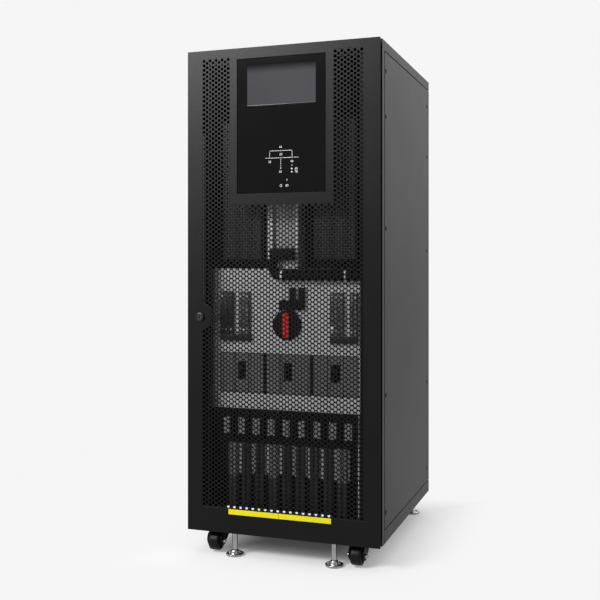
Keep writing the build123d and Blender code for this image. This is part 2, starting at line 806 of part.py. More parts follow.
# Caster forks, bent from one plate and trailing towards the door, and their wheels
axle_z = wheel_lift + wheel_radius
crown_top = cup_low - crown_gap
cheek = wheel_width / 2 + fork_gap
for corner, (x, y) in casters.items():
    axle_y = y - caster_trail
    with BuildPart() as fork:
        with BuildSketch(across(x - cheek - fork_plate)):
            Polygon(
                (y + fork_length / 2, crown_top),
                (y + fork_length / 2, crown_top - 3 * fork_crown),
                (axle_y + fork_lug, axle_z - fork_lug),
                (axle_y - fork_lug, axle_z - fork_lug),
                (axle_y - fork_lug, axle_z + fork_lug),
                (y - fork_length / 2, crown_top - 3 * fork_crown),
                (y - fork_length / 2, crown_top),
                align=None,
            )
        extrude(amount=2 * (cheek + fork_plate))
        with BuildSketch(Plane.XZ.offset(-y)):
            with Locations((x, (crown_top - fork_crown) / 2)):
                Rectangle(2 * cheek, crown_top - fork_crown)
        extrude(amount=cabinet_depth, both=True, mode=Mode.SUBTRACT)
        with BuildSketch(Plane.XY.offset(crown_top - fork_crown)):
            with Locations((x, y)):
                Rectangle(crown_width, fork_length)
        extrude(amount=fork_crown)
        with BuildSketch(across(x)):
            with Locations((axle_y, axle_z)):
                Circle(axle_radius)
        extrude(amount=cheek, both=True)
        for side in (-1, 1):
            with BuildSketch(across(x + side * (cheek + fork_plate))):
                with Locations((axle_y, axle_z)):
                    RegularPolygon(axle_nut, 6)
            extrude(amount=side * axle_nut_length)
        with BuildSketch(Plane.XY.offset(crown_top)):
            with Locations((x, y)):
                Circle(king_pin_radius)
        extrude(amount=crown_gap + cup_wall + king_pin_proud)
    save(fork.part, f"caster_fork_{corner}")

    with BuildPart() as wheel:
        with BuildSketch(across(x)):
            with Locations((axle_y, axle_z)):
                RegularPolygon(wheel_radius, wheel_sides)
        extrude(amount=wheel_width / 2, both=True)
        ends = wheel.faces().sort_by(Axis.X)
        chamfer(ends[0].edges() + ends[-1].edges(), wheel_chamfer)
        with BuildSketch(across(x)):
            with Locations((axle_y, axle_z)):
                RegularPolygon(axle_radius + axle_play, bore_sides, major_radius=False)
        extrude(amount=wheel_width / 2, both=True, mode=Mode.SUBTRACT)
    save(wheel.part, f"caster_wheel_{corner}")

# Levelling feet: a turned pad with its stud
front_foot = (half_width - foot_side_margin, door_face + foot_set_back, body_bottom)
rear_foot = (half_width - rear_foot_margin, door_face + cabinet_depth - rear_foot_inset, plate_under)
with BuildPart() as levelling_feet:
    for place_x, y, top in (front_foot, rear_foot):
        for x in (-place_x, place_x):
            with BuildSketch(Plane.XZ.offset(-y)):
                with BuildLine():
                    Polyline(
                        (x, 0),
                        (x + foot_radius, 0),
                        (x + foot_radius, foot_thickness),
                        (x + stud_radius, foot_thickness + foot_cone_height),
                        (x + stud_radius, top),
                        (x, top),
                        close=True,
                    )
                make_face()
            revolve(axis=Axis((x, y, 0), (0, 0, 1)))
save(levelling_feet.part, "levelling_feet")
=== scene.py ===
"""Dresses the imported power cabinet: perforated door, control panel, switchgear, casters, finishes and stage."""

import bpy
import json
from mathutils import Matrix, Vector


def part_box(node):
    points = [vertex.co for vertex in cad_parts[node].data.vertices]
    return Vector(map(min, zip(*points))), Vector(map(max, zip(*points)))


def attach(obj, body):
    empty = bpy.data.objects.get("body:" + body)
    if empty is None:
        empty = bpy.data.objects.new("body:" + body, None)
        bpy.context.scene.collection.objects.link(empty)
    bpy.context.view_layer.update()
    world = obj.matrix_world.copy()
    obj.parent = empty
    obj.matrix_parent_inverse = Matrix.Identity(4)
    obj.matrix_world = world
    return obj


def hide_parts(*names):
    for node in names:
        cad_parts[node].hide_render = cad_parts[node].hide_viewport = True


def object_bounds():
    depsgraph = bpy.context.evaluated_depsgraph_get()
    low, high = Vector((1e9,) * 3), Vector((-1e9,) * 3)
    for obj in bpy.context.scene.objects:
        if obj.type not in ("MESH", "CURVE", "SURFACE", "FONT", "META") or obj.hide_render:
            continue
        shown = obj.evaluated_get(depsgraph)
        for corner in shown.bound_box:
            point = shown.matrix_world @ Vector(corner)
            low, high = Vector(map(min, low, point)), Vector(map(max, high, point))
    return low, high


bl_info = {
    "name": "Power Cabinet Dressing",
    "version": (1, 0, 0),
    "blender": (4, 5, 0),
    "location": "View3D > Sidebar > Cabinet",
    "description": "Builds the fine detail and the finishes of a free-standing power cabinet",
    "category": "Object",
}

import json
import math

import bmesh
import bpy
from bpy.props import FloatProperty, FloatVectorProperty, IntProperty, PointerProperty
from bpy.types import Operator, Panel, PropertyGroup
from mathutils import Matrix, Vector

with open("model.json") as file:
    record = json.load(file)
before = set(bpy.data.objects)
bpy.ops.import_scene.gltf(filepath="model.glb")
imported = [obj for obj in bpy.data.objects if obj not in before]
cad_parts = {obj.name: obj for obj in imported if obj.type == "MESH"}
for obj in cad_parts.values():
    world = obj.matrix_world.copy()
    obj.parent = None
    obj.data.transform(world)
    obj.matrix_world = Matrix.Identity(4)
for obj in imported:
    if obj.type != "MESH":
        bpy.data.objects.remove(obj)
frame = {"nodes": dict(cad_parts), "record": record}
cad_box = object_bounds()

MM = 0.001
DOOR_LOW, DOOR_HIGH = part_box("door_skin")
FACE = DOOR_LOW.y  # front of the door
SILL = DOOR_LOW.z  # bottom of the door
CORNERS = ("front_left", "front_right", "rear_left", "rear_right")
X_AXIS, Y_AXIS, Z_AXIS = (1, 0, 0), (0, 1, 0), (0, 0, 1)


# Settings


def length(name, description, default):
    return FloatProperty(name=name, description=description, default=default, unit="LENGTH")


def colour(name, description, default):
    return FloatVectorProperty(
        name=name, description=description, default=default, subtype="COLOR", size=3, min=0, max=1
    )


class DoorSizes(PropertyGroup):
    """Sizes of the perforated door."""

    hole_across: length("Hole", "Width of one hole of the perforation", 7.0 * MM)
    pitch_x: length("Column Pitch", "Distance between two columns of holes", 7.2 * MM)
    pitch_z: length("Row Pitch", "Distance between two holes of a column", 9.78 * MM)
    blank_columns: IntProperty(
        name="Blank Columns", description="Columns left plain around the panel", default=33
    )
    blank_rows: IntProperty(name="Blank Rows", description="Rows left plain around the panel", default=33)
    lock_clear: length("Lock Clearance", "No hole is nearer to the lock than this", 30.0 * MM)
    line_width: length("Line Width", "Width of the printed lines of the control panel", 0.75 * MM)
    digit_height: length("Digit Height", "Height of the printed digits of the control panel", 5.0 * MM)


class FittingSizes(PropertyGroup):
    """Sizes of the small fittings."""

    screw_radius: length("Screw Head", "Radius of a panel screw", 5.2 * MM)
    screw_proud: length("Screw Height", "How far a screw head stands off its panel", 0.1 * MM)
    grille_hole: length("Grille Hole", "Width of one hole of a module grille", 4.2 * MM)
    grille_pitch: length("Grille Pitch", "Distance between the holes of a module grille", 6.0 * MM)
    module_gap: length("Module Gap", "Half the space between the two power modules", 57.5 * MM)
    cable_pair: length("Cable Pair", "Width of two sleeved cables side by side", 22.0 * MM)
    loom_radius: length("Loom", "Radius of the wiring loom's conduit", 11.0 * MM)
    stud_radius: length("Stud", "Radius of a levelling foot's stud", 6.0 * MM)
    edge_round: length("Edge Rounding", "Rounding of the sheet-metal edges", 0.5 * MM)


class FinishColours(PropertyGroup):
    """Colours of the finishes."""

    powder_coat: colour("Powder Coat", "Door and panels", (0.0031, 0.0031, 0.0033))
    frame_paint: colour("Frame Paint", "Frame and inner parts", (0.0048, 0.0048, 0.005))
    grille_paint: colour("Grille Paint", "Perforated fronts of the modules", (0.045, 0.045, 0.046))
    panel_black: colour("Control Panel", "Glossy front of the control panel", (0.0042, 0.0042, 0.0044))
    display: colour("Display", "Unlit display", (0.0483, 0.0483, 0.0525))
    galvanised: colour("Galvanised Sheet", "Switch panel, column and backing plate", (0.60, 0.605, 0.605))
    moulded_black: colour("Black Plastic", "Moulded black parts", (0.0028, 0.0028, 0.0028))
    moulded_grey: colour("Grey Plastic and Painted Highlight", "Breakers and light sleeves", (0.165, 0.165, 0.17))
    handle_red: colour("Handle", "Handle of the bypass switch", (0.80, 0.017, 0.017))
    ink: colour("Ink", "Printed lines and digits", (0.67, 0.68, 0.685))
    strip_yellow: colour("Strip", "Marking strip under the perforation", (0.60, 0.535, 0.0))
    zinc: colour("Zinc", "Feet and bolts", (0.42, 0.42, 0.415))
    dull_zinc: colour("Dull Zinc", "Terminal tabs", (0.33, 0.33, 0.32))
    tyre: colour("Tyre", "Caster wheels", (0.0042, 0.0042, 0.0042))


class StageSettings(PropertyGroup):
    """Camera, floor and light."""

    camera_place: FloatVectorProperty(
        name="Camera Place",
        description="Where the camera stands",
        default=(0.6815, FACE - 1.8432, SILL + 0.5931),
        subtype="TRANSLATION",
        unit="LENGTH",
    )
    camera_turn: FloatProperty(
        name="Camera Turn", description="Turn about the vertical", default=math.radians(19.076), subtype="ANGLE"
    )
    lens: FloatProperty(name="Lens", description="Focal length in millimetres", default=54.95)
    shift_y: FloatProperty(name="Shift", description="Vertical shift of the frame", default=-0.0628)
    backdrop: colour("Backdrop", "Tone of the background", (0.92, 0.92, 0.92))
    floor: colour("Floor", "Paint of the floor", (0.90, 0.90, 0.90))


# Nodes


def feed(node, inputs):
    """Gives a node its inputs: an output socket is linked, anything else is a plain value."""
    for socket, value in inputs.items():
        if isinstance(value, bpy.types.NodeSocket):
            node.id_data.links.new(value, node.inputs[socket])
        else:
            node.inputs[socket].default_value = value


def add_node(tree, kind, inputs=None, **settings):
    """A new shader node with its settings and inputs."""
    node = tree.nodes.new(f"ShaderNode{kind}")
    for name, value in settings.items():
        setattr(node, name, value)
    feed(node, inputs or {})
    return node


def ranged(tree, value, low=0.0, high=1.0, start=0.0, end=1.0, **settings):
    """A value between start and end, spread between low and high."""
    inputs = {"Value": value, "From Min": start, "From Max": end, "To Min": low, "To Max": high}
    return add_node(tree, "MapRange", inputs, **settings).outputs["Result"]


def calculate(tree, operation, first, second):
    return add_node(tree, "Math", {0: first, 1: second}, operation=operation).outputs["Value"]


def axes_of(tree, vector):
    return add_node(tree, "SeparateXYZ", {"Vector": vector}).outputs


def toned(tone, share):
    """A colour made darker or lighter."""
    return [min(1.0, c * share) for c in tone]


def blend(tree, factor, first, second):
    """A colour mix; first and second are colours or output sockets."""
    first, second = [v if isinstance(v, bpy.types.NodeSocket) else (*v, 1.0) for v in (first, second)]
    mix = add_node(tree, "Mix", {"Factor": factor, "A": first, "B": second}, data_type="RGBA")
    return mix.outputs["Result"]


def bumped(tree, height, strength, distance):
    """The normal of a bumped surface."""
    bump = add_node(tree, "Bump", {"Height": height, "Strength": strength, "Distance": distance})
    return bump.outputs["Normal"]


def node_group(name, values, outputs):
    """A new shader group that takes a vector and values: its tree, what it is given and its output node."""
    tree = bpy.data.node_groups.new(name, "ShaderNodeTree")
    tree.interface.new_socket("Vector", in_out="INPUT", socket_type="NodeSocketVector")
    for socket, default in values.items():
        made = tree.interface.new_socket(socket, in_out="INPUT", socket_type="NodeSocketFloat")
        made.default_value = default
    for socket in outputs:
        tree.interface.new_socket(socket, in_out="OUTPUT", socket_type="NodeSocketFloat")
    return tree, tree.nodes.new("NodeGroupInput").outputs, tree.nodes.new("NodeGroupOutput")


def grain_group():
    """Fine grain of a coat or a moulding, and the slow drift of its tone."""
    scales = {"Grain Scale": 900.0, "Drift Scale": 6.0}
    tree, given, out = node_group("Surface Grain", scales, ("Height", "Drift"))
    grain, drift = [
        add_node(tree, "TexNoise", {"Vector": given["Vector"], "Scale": given[scale], "Detail": detail})
        for scale, detail in (("Grain Scale", 2.0), ("Drift Scale", 3.0))
    ]
    spread = ranged(tree, drift.outputs["Fac"], start=0.32, end=0.68)
    feed(out, {"Height": grain.outputs["Fac"], "Drift": spread})


def dust_group():
    """Dust that settles on faces that look up."""
    tree, given, out = node_group("Settled Dust", {"Amount": 0.2}, ("Mask",))
    normal = axes_of(tree, add_node(tree, "NewGeometry").outputs["Normal"])
    upward = ranged(tree, normal["Z"], start=0.3)
    patches = add_node(tree, "TexNoise", {"Vector": given["Vector"], "Scale": 14.0, "Detail": 5.0})
    settled = calculate(tree, "MULTIPLY", upward, patches.outputs["Fac"])
    feed(out, {"Mask": calculate(tree, "MULTIPLY", settled, given["Amount"])})


def spangle_group():
    """Crystal spangle of a galvanised sheet."""
    tree, given, out = node_group("Zinc Spangle", {"Scale": 120.0}, ("Tone",))
    cells = add_node(tree, "TexVoronoi", {"Vector": given["Vector"], "Scale": given["Scale"]})
    split = add_node(tree, "SeparateColor", {"Color": cells.outputs["Color"]})
    feed(out, {"Tone": split.outputs["Red"]})


def group_node(tree, name, vector, **values):
    """The outputs of a placed group, fed with object coordinates and its own values."""
    inputs = {socket.replace("_", " "): value for socket, value in values.items()}
    group = bpy.data.node_groups[name]
    return add_node(tree, "Group", {"Vector": vector, **inputs}, node_tree=group).outputs


# Finishes

DUST = (0.30, 0.29, 0.27)


def start_finish(name):
    """A new node material: its tree, its shader and its object coordinates."""
    material = bpy.data.materials.new(name)
    material.use_nodes = True
    tree = material.node_tree
    return tree, tree.nodes["Principled BSDF"], add_node(tree, "TexCoord").outputs["Object"]


def coat_finish(name, tone, roughness, *, spread=0.15, grain=900.0, drift=6.0, bump=0.15, dust=0.0, metal=0.0,
                specular=0.3, sheen=0.05):
    """A coat or moulding with a fine grain, a drift of tone and gloss, and dust on top."""
    tree, shader, place = start_finish(name)
    surface = group_node(tree, "Surface Grain", place, Grain_Scale=grain, Drift_Scale=drift)
    base = blend(tree, surface["Drift"], toned(tone, 1 - spread), toned(tone, 1 + spread))
    if dust:
        film = group_node(tree, "Settled Dust", place, Amount=dust)
        base = blend(tree, film["Mask"], base, DUST)
    feed(shader, {
        "Base Color": base,
        "Roughness": ranged(tree, surface["Drift"], roughness - sheen, roughness + sheen),
        "Metallic": metal,
        "Specular IOR Level": specular,
        "Normal": bumped(tree, surface["Height"], bump, 0.4 * MM),
    })


def galvanised_finish(name, tone):
    """Zinc-coated sheet with its spangle."""
    tree, shader, place = start_finish(name)
    spangle = group_node(tree, "Zinc Spangle", place, Scale=130.0)
    surface = group_node(tree, "Surface Grain", place, Grain_Scale=400.0, Drift_Scale=9.0)
    tint = blend(tree, spangle["Tone"], toned(tone, 0.88), toned(tone, 1.08))
    feed(shader, {
        "Base Color": blend(tree, surface["Drift"], tint, toned(tone, 0.95)),
        "Roughness": ranged(tree, spangle["Tone"], 0.42, 0.58),
        "Metallic": 0.25,
        "Normal": bumped(tree, surface["Height"], 0.08, 0.3 * MM),
    })


def display_finish(name, tone):
    """Unlit display behind glass, with painted shade of the recess along its top edge."""
    tree, shader, place = start_finish(name)
    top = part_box("display_window")[1].z
    height = axes_of(tree, place)["Z"]
    # painted shade: the tone runs to near black towards the top edge, for the recess's shadow
    shade = ranged(tree, height, start=top - 21 * MM, end=top + 1 * MM, interpolation_type="SMOOTHSTEP")
    surface = group_node(tree, "Surface Grain", place, Grain_Scale=2500.0, Drift_Scale=7.0)
    lit = blend(tree, surface["Drift"], toned(tone, 0.94), toned(tone, 1.06))
    feed(shader, {
        "Base Color": blend(tree, shade, lit, toned(tone, 0.12)),
        "Roughness": ranged(tree, surface["Drift"], 0.07, 0.11),
        "Specular IOR Level": 0.17,
    })


def sleeve_finish(name, tone, *, foot=1.0):
    """Braided sleeve of a cable: fine ribs that run along it, and painted shade on its lower end below the
    backing plate.
    """
    tree, shader, place = start_finish(name)
    rib_inputs = {"Vector": place, "Scale": 110.0, "Distortion": 0.6}
    ribs = add_node(tree, "TexWave", rib_inputs, bands_direction="X").outputs["Fac"]
    surface = group_node(tree, "Surface Grain", place, Grain_Scale=700.0, Drift_Scale=16.0)
    weave = blend(tree, ribs, toned(tone, 0.6), toned(tone, 1.25))
    cloth = blend(tree, surface["Drift"], weave, toned(tone, 0.85))
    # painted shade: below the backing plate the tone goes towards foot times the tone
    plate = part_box("backing_plate")[0].z
    lower = ranged(tree, axes_of(tree, place)["Z"], start=plate, end=plate - 8 * MM)
    feed(shader, {
        "Base Color": blend(tree, lower, cloth, toned(tone, foot)),
        "Roughness": ranged(tree, surface["Drift"], 0.45, 0.6),
        "Normal": bumped(tree, ribs, 0.3, 0.6 * MM),
    })


NODE_FINISHES = {
    "Powder Coat": (
        "door_skin", "front_frame", "base_frame", "left_side_panel", "right_side_panel", "roof", "rear_panel",
    ),
    "Frame Paint": (
        "door_mesh", "door_stiffener", "door_knuckles", "hinge_leaves", "corner_posts", "bulkhead",
        "power_modules",
    ),
    "Control Panel": ("control_panel",),
    "Display": ("display_window",),
    "Galvanised": ("switch_panel", "backing_plate"),
    # painted shade: the centre column takes a darker copy of the galvanised sheet
    "Painted Shade Sheet": ("centre_column",),
    "Black Plastic": (
        "control_housing", "switch_base", "switch_interlock", "surge_units", "terminal_block", "wiring_loom",
    ),
    "Toggle Black and Painted Shade": ("toggle_left", "toggle_centre", "toggle_right"),
    "Grey Plastic and Painted Highlight": ("breakers",),
    "Handle Red": ("switch_handle",),
    "White Plastic": ("cable_ties",),
    "Zinc": ("door_lock", "levelling_feet"),
    "Dull Zinc": ("terminal_tabs", "caster_plates"),
    "Dark Sleeve": ("dark_conductors",),
    "Light Sleeve": ("light_conductors",),
    "Tyre": tuple(f"caster_{part}_{c}" for part in ("wheel", "fork") for c in CORNERS),
}
# Solids with rounded edges, by their share of the rounding
ROUNDED_NODES = {
    1.0: (
        "door_skin", "front_frame", "base_frame", "roof", "rear_panel", "switch_panel", "centre_column",
        "backing_plate", "terminal_block", "terminal_tabs", "control_panel", "caster_plates", "door_stiffener",
    ),
    1.6: (
        "left_side_panel", "right_side_panel", "breakers", "switch_interlock", "switch_base", "toggle_left",
        "toggle_centre", "toggle_right",
    ),
    4.0: ("switch_handle",),
}


class CABINET_OT_finishes(Operator):
    """Make the finishes and give each solid its own"""

    bl_idname = "cabinet.finishes"
    bl_label = "Finishes"

    def execute(self, context):
        tone = context.scene.cabinet_colours
        grain_group()
        dust_group()
        spangle_group()
        coat_finish(
            "Powder Coat", tone.powder_coat, 0.37, bump=0.14, grain=1300.0, dust=0.12, specular=0.175,
            sheen=0.012,
        )
        coat_finish("Frame Paint", tone.frame_paint, 0.45, bump=0.1, grain=1100.0, specular=0.17)
        coat_finish("Grille Paint", tone.grille_paint, 0.45, bump=0.1, grain=1100.0)
        coat_finish(
            "Control Panel", tone.panel_black, 0.09, bump=0.0, grain=2500.0, spread=0.08, specular=0.14,
            sheen=0.01,
        )
        display_finish("Display", tone.display)
        galvanised_finish("Galvanised", tone.galvanised)
        # lighter and darker copies of the galvanised sheet: painted light on the centre column's lips, painted
        # shade in its recess
        galvanised_finish("Painted Light Sheet", toned(tone.galvanised, 1.05))
        galvanised_finish("Painted Shade Sheet", toned(tone.galvanised, 0.72))
        coat_finish("Black Plastic", tone.moulded_black, 0.45, bump=0.12, specular=0.085)
        # black of the toggles, also used as painted shade in the key slot and on the breakers
        coat_finish("Toggle Black and Painted Shade", (0.0021, 0.0021, 0.0021), 0.45, bump=0.1, specular=0.07)
        mottle = {"bump": 0.2, "drift": 170.0, "grain": 300.0}
        coat_finish("Mottled Grey", (0.12, 0.12, 0.124), 0.4, spread=0.6, **mottle)
        coat_finish("Mottled Black", (0.028, 0.028, 0.028), 0.4, spread=0.5, **mottle)
        # grey of the breakers, also used as painted highlight on the display's lower edge
        coat_finish("Grey Plastic and Painted Highlight", tone.moulded_grey, 0.46, bump=0.12)
        coat_finish("Handle Red", tone.handle_red, 0.34, bump=0.05, spread=0.1)
        coat_finish("White Plastic", (0.80, 0.80, 0.78), 0.4, bump=0.05, spread=0.05)
        coat_finish("Ink", tone.ink, 0.5, bump=0.05, spread=0.06, drift=120.0)
        coat_finish("Strip Yellow", tone.strip_yellow, 0.42, bump=0.04, spread=0.04, drift=30.0)
        coat_finish("Label White", (0.73, 0.73, 0.72), 0.5, bump=0.04, spread=0.04, drift=30.0)
        coat_finish("Zinc", tone.zinc, 0.2, bump=0.03, grain=600.0, drift=60.0, spread=0.08, metal=1.0)
        coat_finish(
            "Dull Zinc", tone.dull_zinc, 0.42, bump=0.1, grain=600.0, drift=150.0, spread=0.35, metal=0.6
        )
        coat_finish("Lock Metal", (0.07, 0.07, 0.072), 0.42, bump=0.05, grain=800.0, drift=80.0, metal=0.9)
        coat_finish("Tyre", tone.tyre, 0.42, bump=0.08, drift=40.0, specular=0.14)
        # black of the screws, also used as painted shade behind the panel joints
        coat_finish("Screw Black and Painted Shade", (0.0042, 0.0042, 0.0042), 0.5, bump=0.05, drift=90.0, specular=0.0)
        sleeve_finish("Dark Sleeve", (0.0225, 0.0225, 0.0225))
        # painted shade: the light sleeves go dark below the backing plate
        sleeve_finish("Light Sleeve", (0.18, 0.18, 0.18), foot=0.22)
        for finish, nodes in NODE_FINISHES.items():
            for node in nodes:
                mesh = frame["nodes"][node].data
                mesh.materials.clear()
                mesh.materials.append(bpy.data.materials[finish])
        for share, nodes in ROUNDED_NODES.items():
            for node in nodes:
                piece = frame["nodes"][node]
                weld = piece.modifiers.new("Weld", "WELD")
                weld.merge_threshold = 0.01 * MM
                soften = piece.modifiers.new("Rounded Edges", "BEVEL")
                soften.width = context.scene.cabinet_fittings.edge_round * share
                soften.segments = 2
                soften.limit_method = "ANGLE"
                soften.angle_limit = math.radians(40)
                soften.harden_normals = True
        return {"FINISHED"}


# Modelling


def edges_of(verts):
    return list({e for v in verts for e in v.link_edges})


def add_box(bm, low, high, rounding=0.0, segments=2):
    """A box between two corners, with rounded edges."""
    low, high = Vector(low), Vector(high)
    place = Matrix.Translation((low + high) / 2) @ Matrix.Diagonal((*(high - low), 1.0))
    verts = bmesh.ops.create_cube(bm, size=1.0, matrix=place)["verts"]
    if rounding:
        bmesh.ops.bevel(
            bm, geom=edges_of(verts), offset=rounding, segments=segments, profile=0.5, affect="EDGES",
            material=-1,
        )


def add_turned(bm, profile, centre, axis, steps=32, unit=1.0):
    """A turned shape; the profile holds pairs of radius and distance along the axis."""
    axis, centre = Vector(axis), Vector(centre)
    side = axis.orthogonal().normalized()
    verts = [bm.verts.new(centre + side * (radius * unit) + axis * (along * unit)) for radius, along in profile]
    edges = [bm.edges.new(pair) for pair in zip(verts, verts[1:])]
    bmesh.ops.spin(bm, geom=verts + edges, cent=centre, axis=axis, angle=math.tau, steps=steps, use_merge=True)


def extrude(bm, faces, vec):
    """Extrudes faces along a vector."""
    grown = bmesh.ops.extrude_face_region(bm, geom=faces)["geom"]
    bmesh.ops.translate(bm, verts=[v for v in grown if isinstance(v, bmesh.types.BMVert)], vec=vec)


def add_plate(bm, outline, vec):
    """A plate: the points of its outline, and the vector of its thickness."""
    extrude(bm, [bm.faces.new([bm.verts.new(point) for point in outline])], vec)


def add_rim(bm, low, high, wall):
    """An open rectangular rim parallel to the door, between two corners."""
    corners = ((low[0], low[2]), (high[0], low[2]), (high[0], high[2]), (low[0], high[2]))
    face = bm.faces.new([bm.verts.new((x, low[1], z)) for x, z in corners])
    ring = bmesh.ops.inset_region(bm, faces=[face], thickness=wall)["faces"]
    bmesh.ops.delete(bm, geom=[face], context="FACES")
    extrude(bm, ring, (0, high[1] - low[1], 0))


def add_piece(name, bm, finish, body="cabinet", replaces=None, smooth=35.0):
    """Turns a bmesh into a piece of the object that rides on a body."""
    bmesh.ops.remove_doubles(bm, verts=bm.verts, dist=0.002 * MM)
    bmesh.ops.recalc_face_normals(bm, faces=bm.faces)
    mesh = bpy.data.meshes.new(name)
    bm.to_mesh(mesh)
    bm.free()
    mesh.shade_smooth()
    mesh.set_sharp_from_angle(angle=math.radians(smooth))
    mesh.materials.append(bpy.data.materials[finish])
    piece = bpy.data.objects.new(name, mesh)
    bpy.context.scene.collection.objects.link(piece)
    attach(piece, body)
    if replaces:
        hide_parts(replaces)


# Door


def add_hole_run(sheet, x, top, count, y, hole, width, height):
    """A run of perforated tiles down one column: a ring drawn out to the edge of its tile, then repeated."""
    bm = bmesh.new()
    place = Matrix.Translation((x, y, top)) @ Matrix.Rotation(math.pi / 2, 4, "X")
    ring = bmesh.ops.create_circle(bm, cap_ends=False, segments=12, radius=hole / 2, matrix=place)["verts"]
    grown = bmesh.ops.extrude_edge_only(bm, edges=edges_of(ring))["geom"]
    for vert in (v for v in grown if isinstance(v, bmesh.types.BMVert)):
        across, up = vert.co.x - x, vert.co.z - top
        step = round(math.degrees(math.atan2(abs(across), abs(up))) / 30)
        reach_x, reach_z = ((0, 0.5), (0.5, 0.5), (0.5, 0.25), (0.5, 0))[step]
        vert.co.x = x + math.copysign(reach_x * width, across)
        vert.co.z = top + math.copysign(reach_z * height, up)
    if count > 1:
        bmesh.ops.spin(
            bm, geom=bm.faces[:] + bm.edges[:] + bm.verts[:], cent=(0, 0, 0), axis=Z_AXIS,
            dvec=(0, 0, -height), angle=0.0, steps=count - 1, use_duplicate=True,
        )
    run = bpy.data.meshes.new("run")
    bm.to_mesh(run)
    bm.free()
    sheet.from_mesh(run)
    bpy.data.meshes.remove(run)


def thicken(bm, thickness):
    """Joins the tiles of a sheet that faces the front and gives it its thickness."""
    bmesh.ops.remove_doubles(bm, verts=bm.verts, dist=0.02 * MM)
    bmesh.ops.recalc_face_normals(bm, faces=bm.faces)
    if bm.faces[:][0].normal.y > 0:
        bmesh.ops.reverse_faces(bm, faces=bm.faces)
    bmesh.ops.solidify(bm, geom=bm.faces[:], thickness=thickness)


def add_half_tile(bm, x, z, y, width, height):
    """The plain half tile at the end of a staggered column."""
    upright = Matrix.Translation((x, y, z)) @ Matrix.Rotation(math.pi / 2, 4, "X")
    place = upright @ Matrix.Diagonal((width, height / 2, 1, 1))
    bmesh.ops.create_grid(bm, x_segments=2, y_segments=2, size=0.5, matrix=place)


class CABINET_OT_perforation(Operator):
    """Perforate the door at its real pitch"""

    bl_idname = "cabinet.perforation"
    bl_label = "Door Perforation"

    def execute(self, context):
        sizes = context.scene.cabinet_door
        low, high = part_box("door_mesh")
        lock = sum(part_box("door_lock"), Vector()) / 2
        columns = round((high.x - low.x) / sizes.pitch_x)
        rows = round((high.z - low.z) / sizes.pitch_z)
        width, height = (high.x - low.x) / columns, (high.z - low.z) / rows
        plain = (columns - sizes.blank_columns) // 2
        half = columns // 2 + 1
        for name, span in (("door_mesh_left", range(half)), ("door_mesh_right", range(half, columns))):
            bm = bmesh.new()
            for column in span:
                x = low.x + width * (column + 0.5)
                staggered = column % 2
                skipped = sizes.blank_rows if plain <= column < columns - plain else 0
                ceiling = high.z - skipped * height
                count = rows - skipped - staggered
                tops = [ceiling - height * (row + 0.5 + staggered / 2) for row in range(count)]
                kept = [z for z in tops if math.hypot(x - lock.x, z - lock.z) >= sizes.lock_clear]
                runs = [[kept[0]]]
                for z in kept[1:]:
                    if runs[-1][-1] - z > 1.5 * height:
                        runs.append([])
                    runs[-1].append(z)
                for run in runs:
                    add_hole_run(bm, x, run[0], len(run), low.y, sizes.hole_across, width, height)
                if staggered:
                    for z in (ceiling - height / 4, low.z + height / 4):
                        add_half_tile(bm, x, z, low.y, width, height)
            thicken(bm, high.y - low.y)
            add_piece(name, bm, "Powder Coat", "door", "door_mesh", smooth=40)
        return {"FINISHED"}


class CABINET_OT_panel_marks(Operator):
    """Print the power-flow lines, lamps and plain digits on the control panel"""

    bl_idname = "cabinet.panel_marks"
    bl_label = "Control Panel Marks"

    def execute(self, context):
        sizes = context.scene.cabinet_door
        wide = sizes.line_width / 2
        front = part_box("control_panel")[0].y
        skin = 0.06 * MM
        bm = bmesh.new()

        def stroke(x0, z0, x1, z1):
            """A printed line; places are in millimetres from the door's middle and bottom."""
            add_box(
                bm, (min(x0, x1) * MM - wide, front - skin, SILL + min(z0, z1) * MM - wide),
                (max(x0, x1) * MM + wide, front, SILL + max(z0, z1) * MM + wide),
            )

        for side in (-1, 1):
            stroke(side * 25.6, 818, side * 25.6, 831)
            stroke(side * 24.2, 833, side * 3.5, 833)
            stroke(side * 25.1, 832.4, side * 24.6, 832.6)
        for start, end in ((-35.5, -32), (-30, -4), (-2, 2), (4, 28), (31, 36), (37.5, 40)):
            stroke(start, 817.6, end, 817.6)
        for top in (814.5, 810.5, 806.5, 802.5, 798.5):
            stroke(0, top, 0, top - 2.2)
        stroke(14, 772, 14, 768)
        stroke(0, 759.2, 0, 760.8)
        lamps = ((0, 833, 1.1), (25, 801, 0.9), (25, 793.6, 1.7), (25, 787, 1.7), (0, 795, 1.0))
        for x, z, radius in lamps:
            disc = ((0, -skin), (radius * MM, -skin), (radius * MM, 0))
            add_turned(bm, disc, (x * MM, front, SILL + z * MM), Y_AXIS, 16)
        inner, outer = 1.9 * MM, 2.6 * MM
        button = ((inner, 0), (inner, -skin), (outer, -skin), (outer, 0))
        add_turned(bm, button, (0, front, SILL + 757.6 * MM), Y_AXIS, 24)
        for digits, x, z in (
            ("10", -1, 840.6), ("20", 0, 825), ("30", -25.6, 809.4), ("40", 25, 809.4), ("50", -1, 787.4),
            ("60", 35, 793.6), ("70", 35, 787), ("80", 14, 757.6),
        ):
            text = bpy.data.curves.new("digits", "FONT")
            text.body = digits
            text.size = sizes.digit_height * 1.35
            text.align_x = text.align_y = "CENTER"
            holder = bpy.data.objects.new("digits", text)
            flat = bpy.data.meshes.new_from_object(holder)
            place = Matrix.Translation((x * MM, front - skin, SILL + z * MM))
            flat.transform(place @ Matrix.Rotation(math.pi / 2, 4, "X"))
            bm.from_mesh(flat)
            bpy.data.objects.remove(holder)
            bpy.data.curves.remove(text)
            bpy.data.meshes.remove(flat)
        add_piece("panel_marks", bm, "Ink", "door")
        return {"FINISHED"}


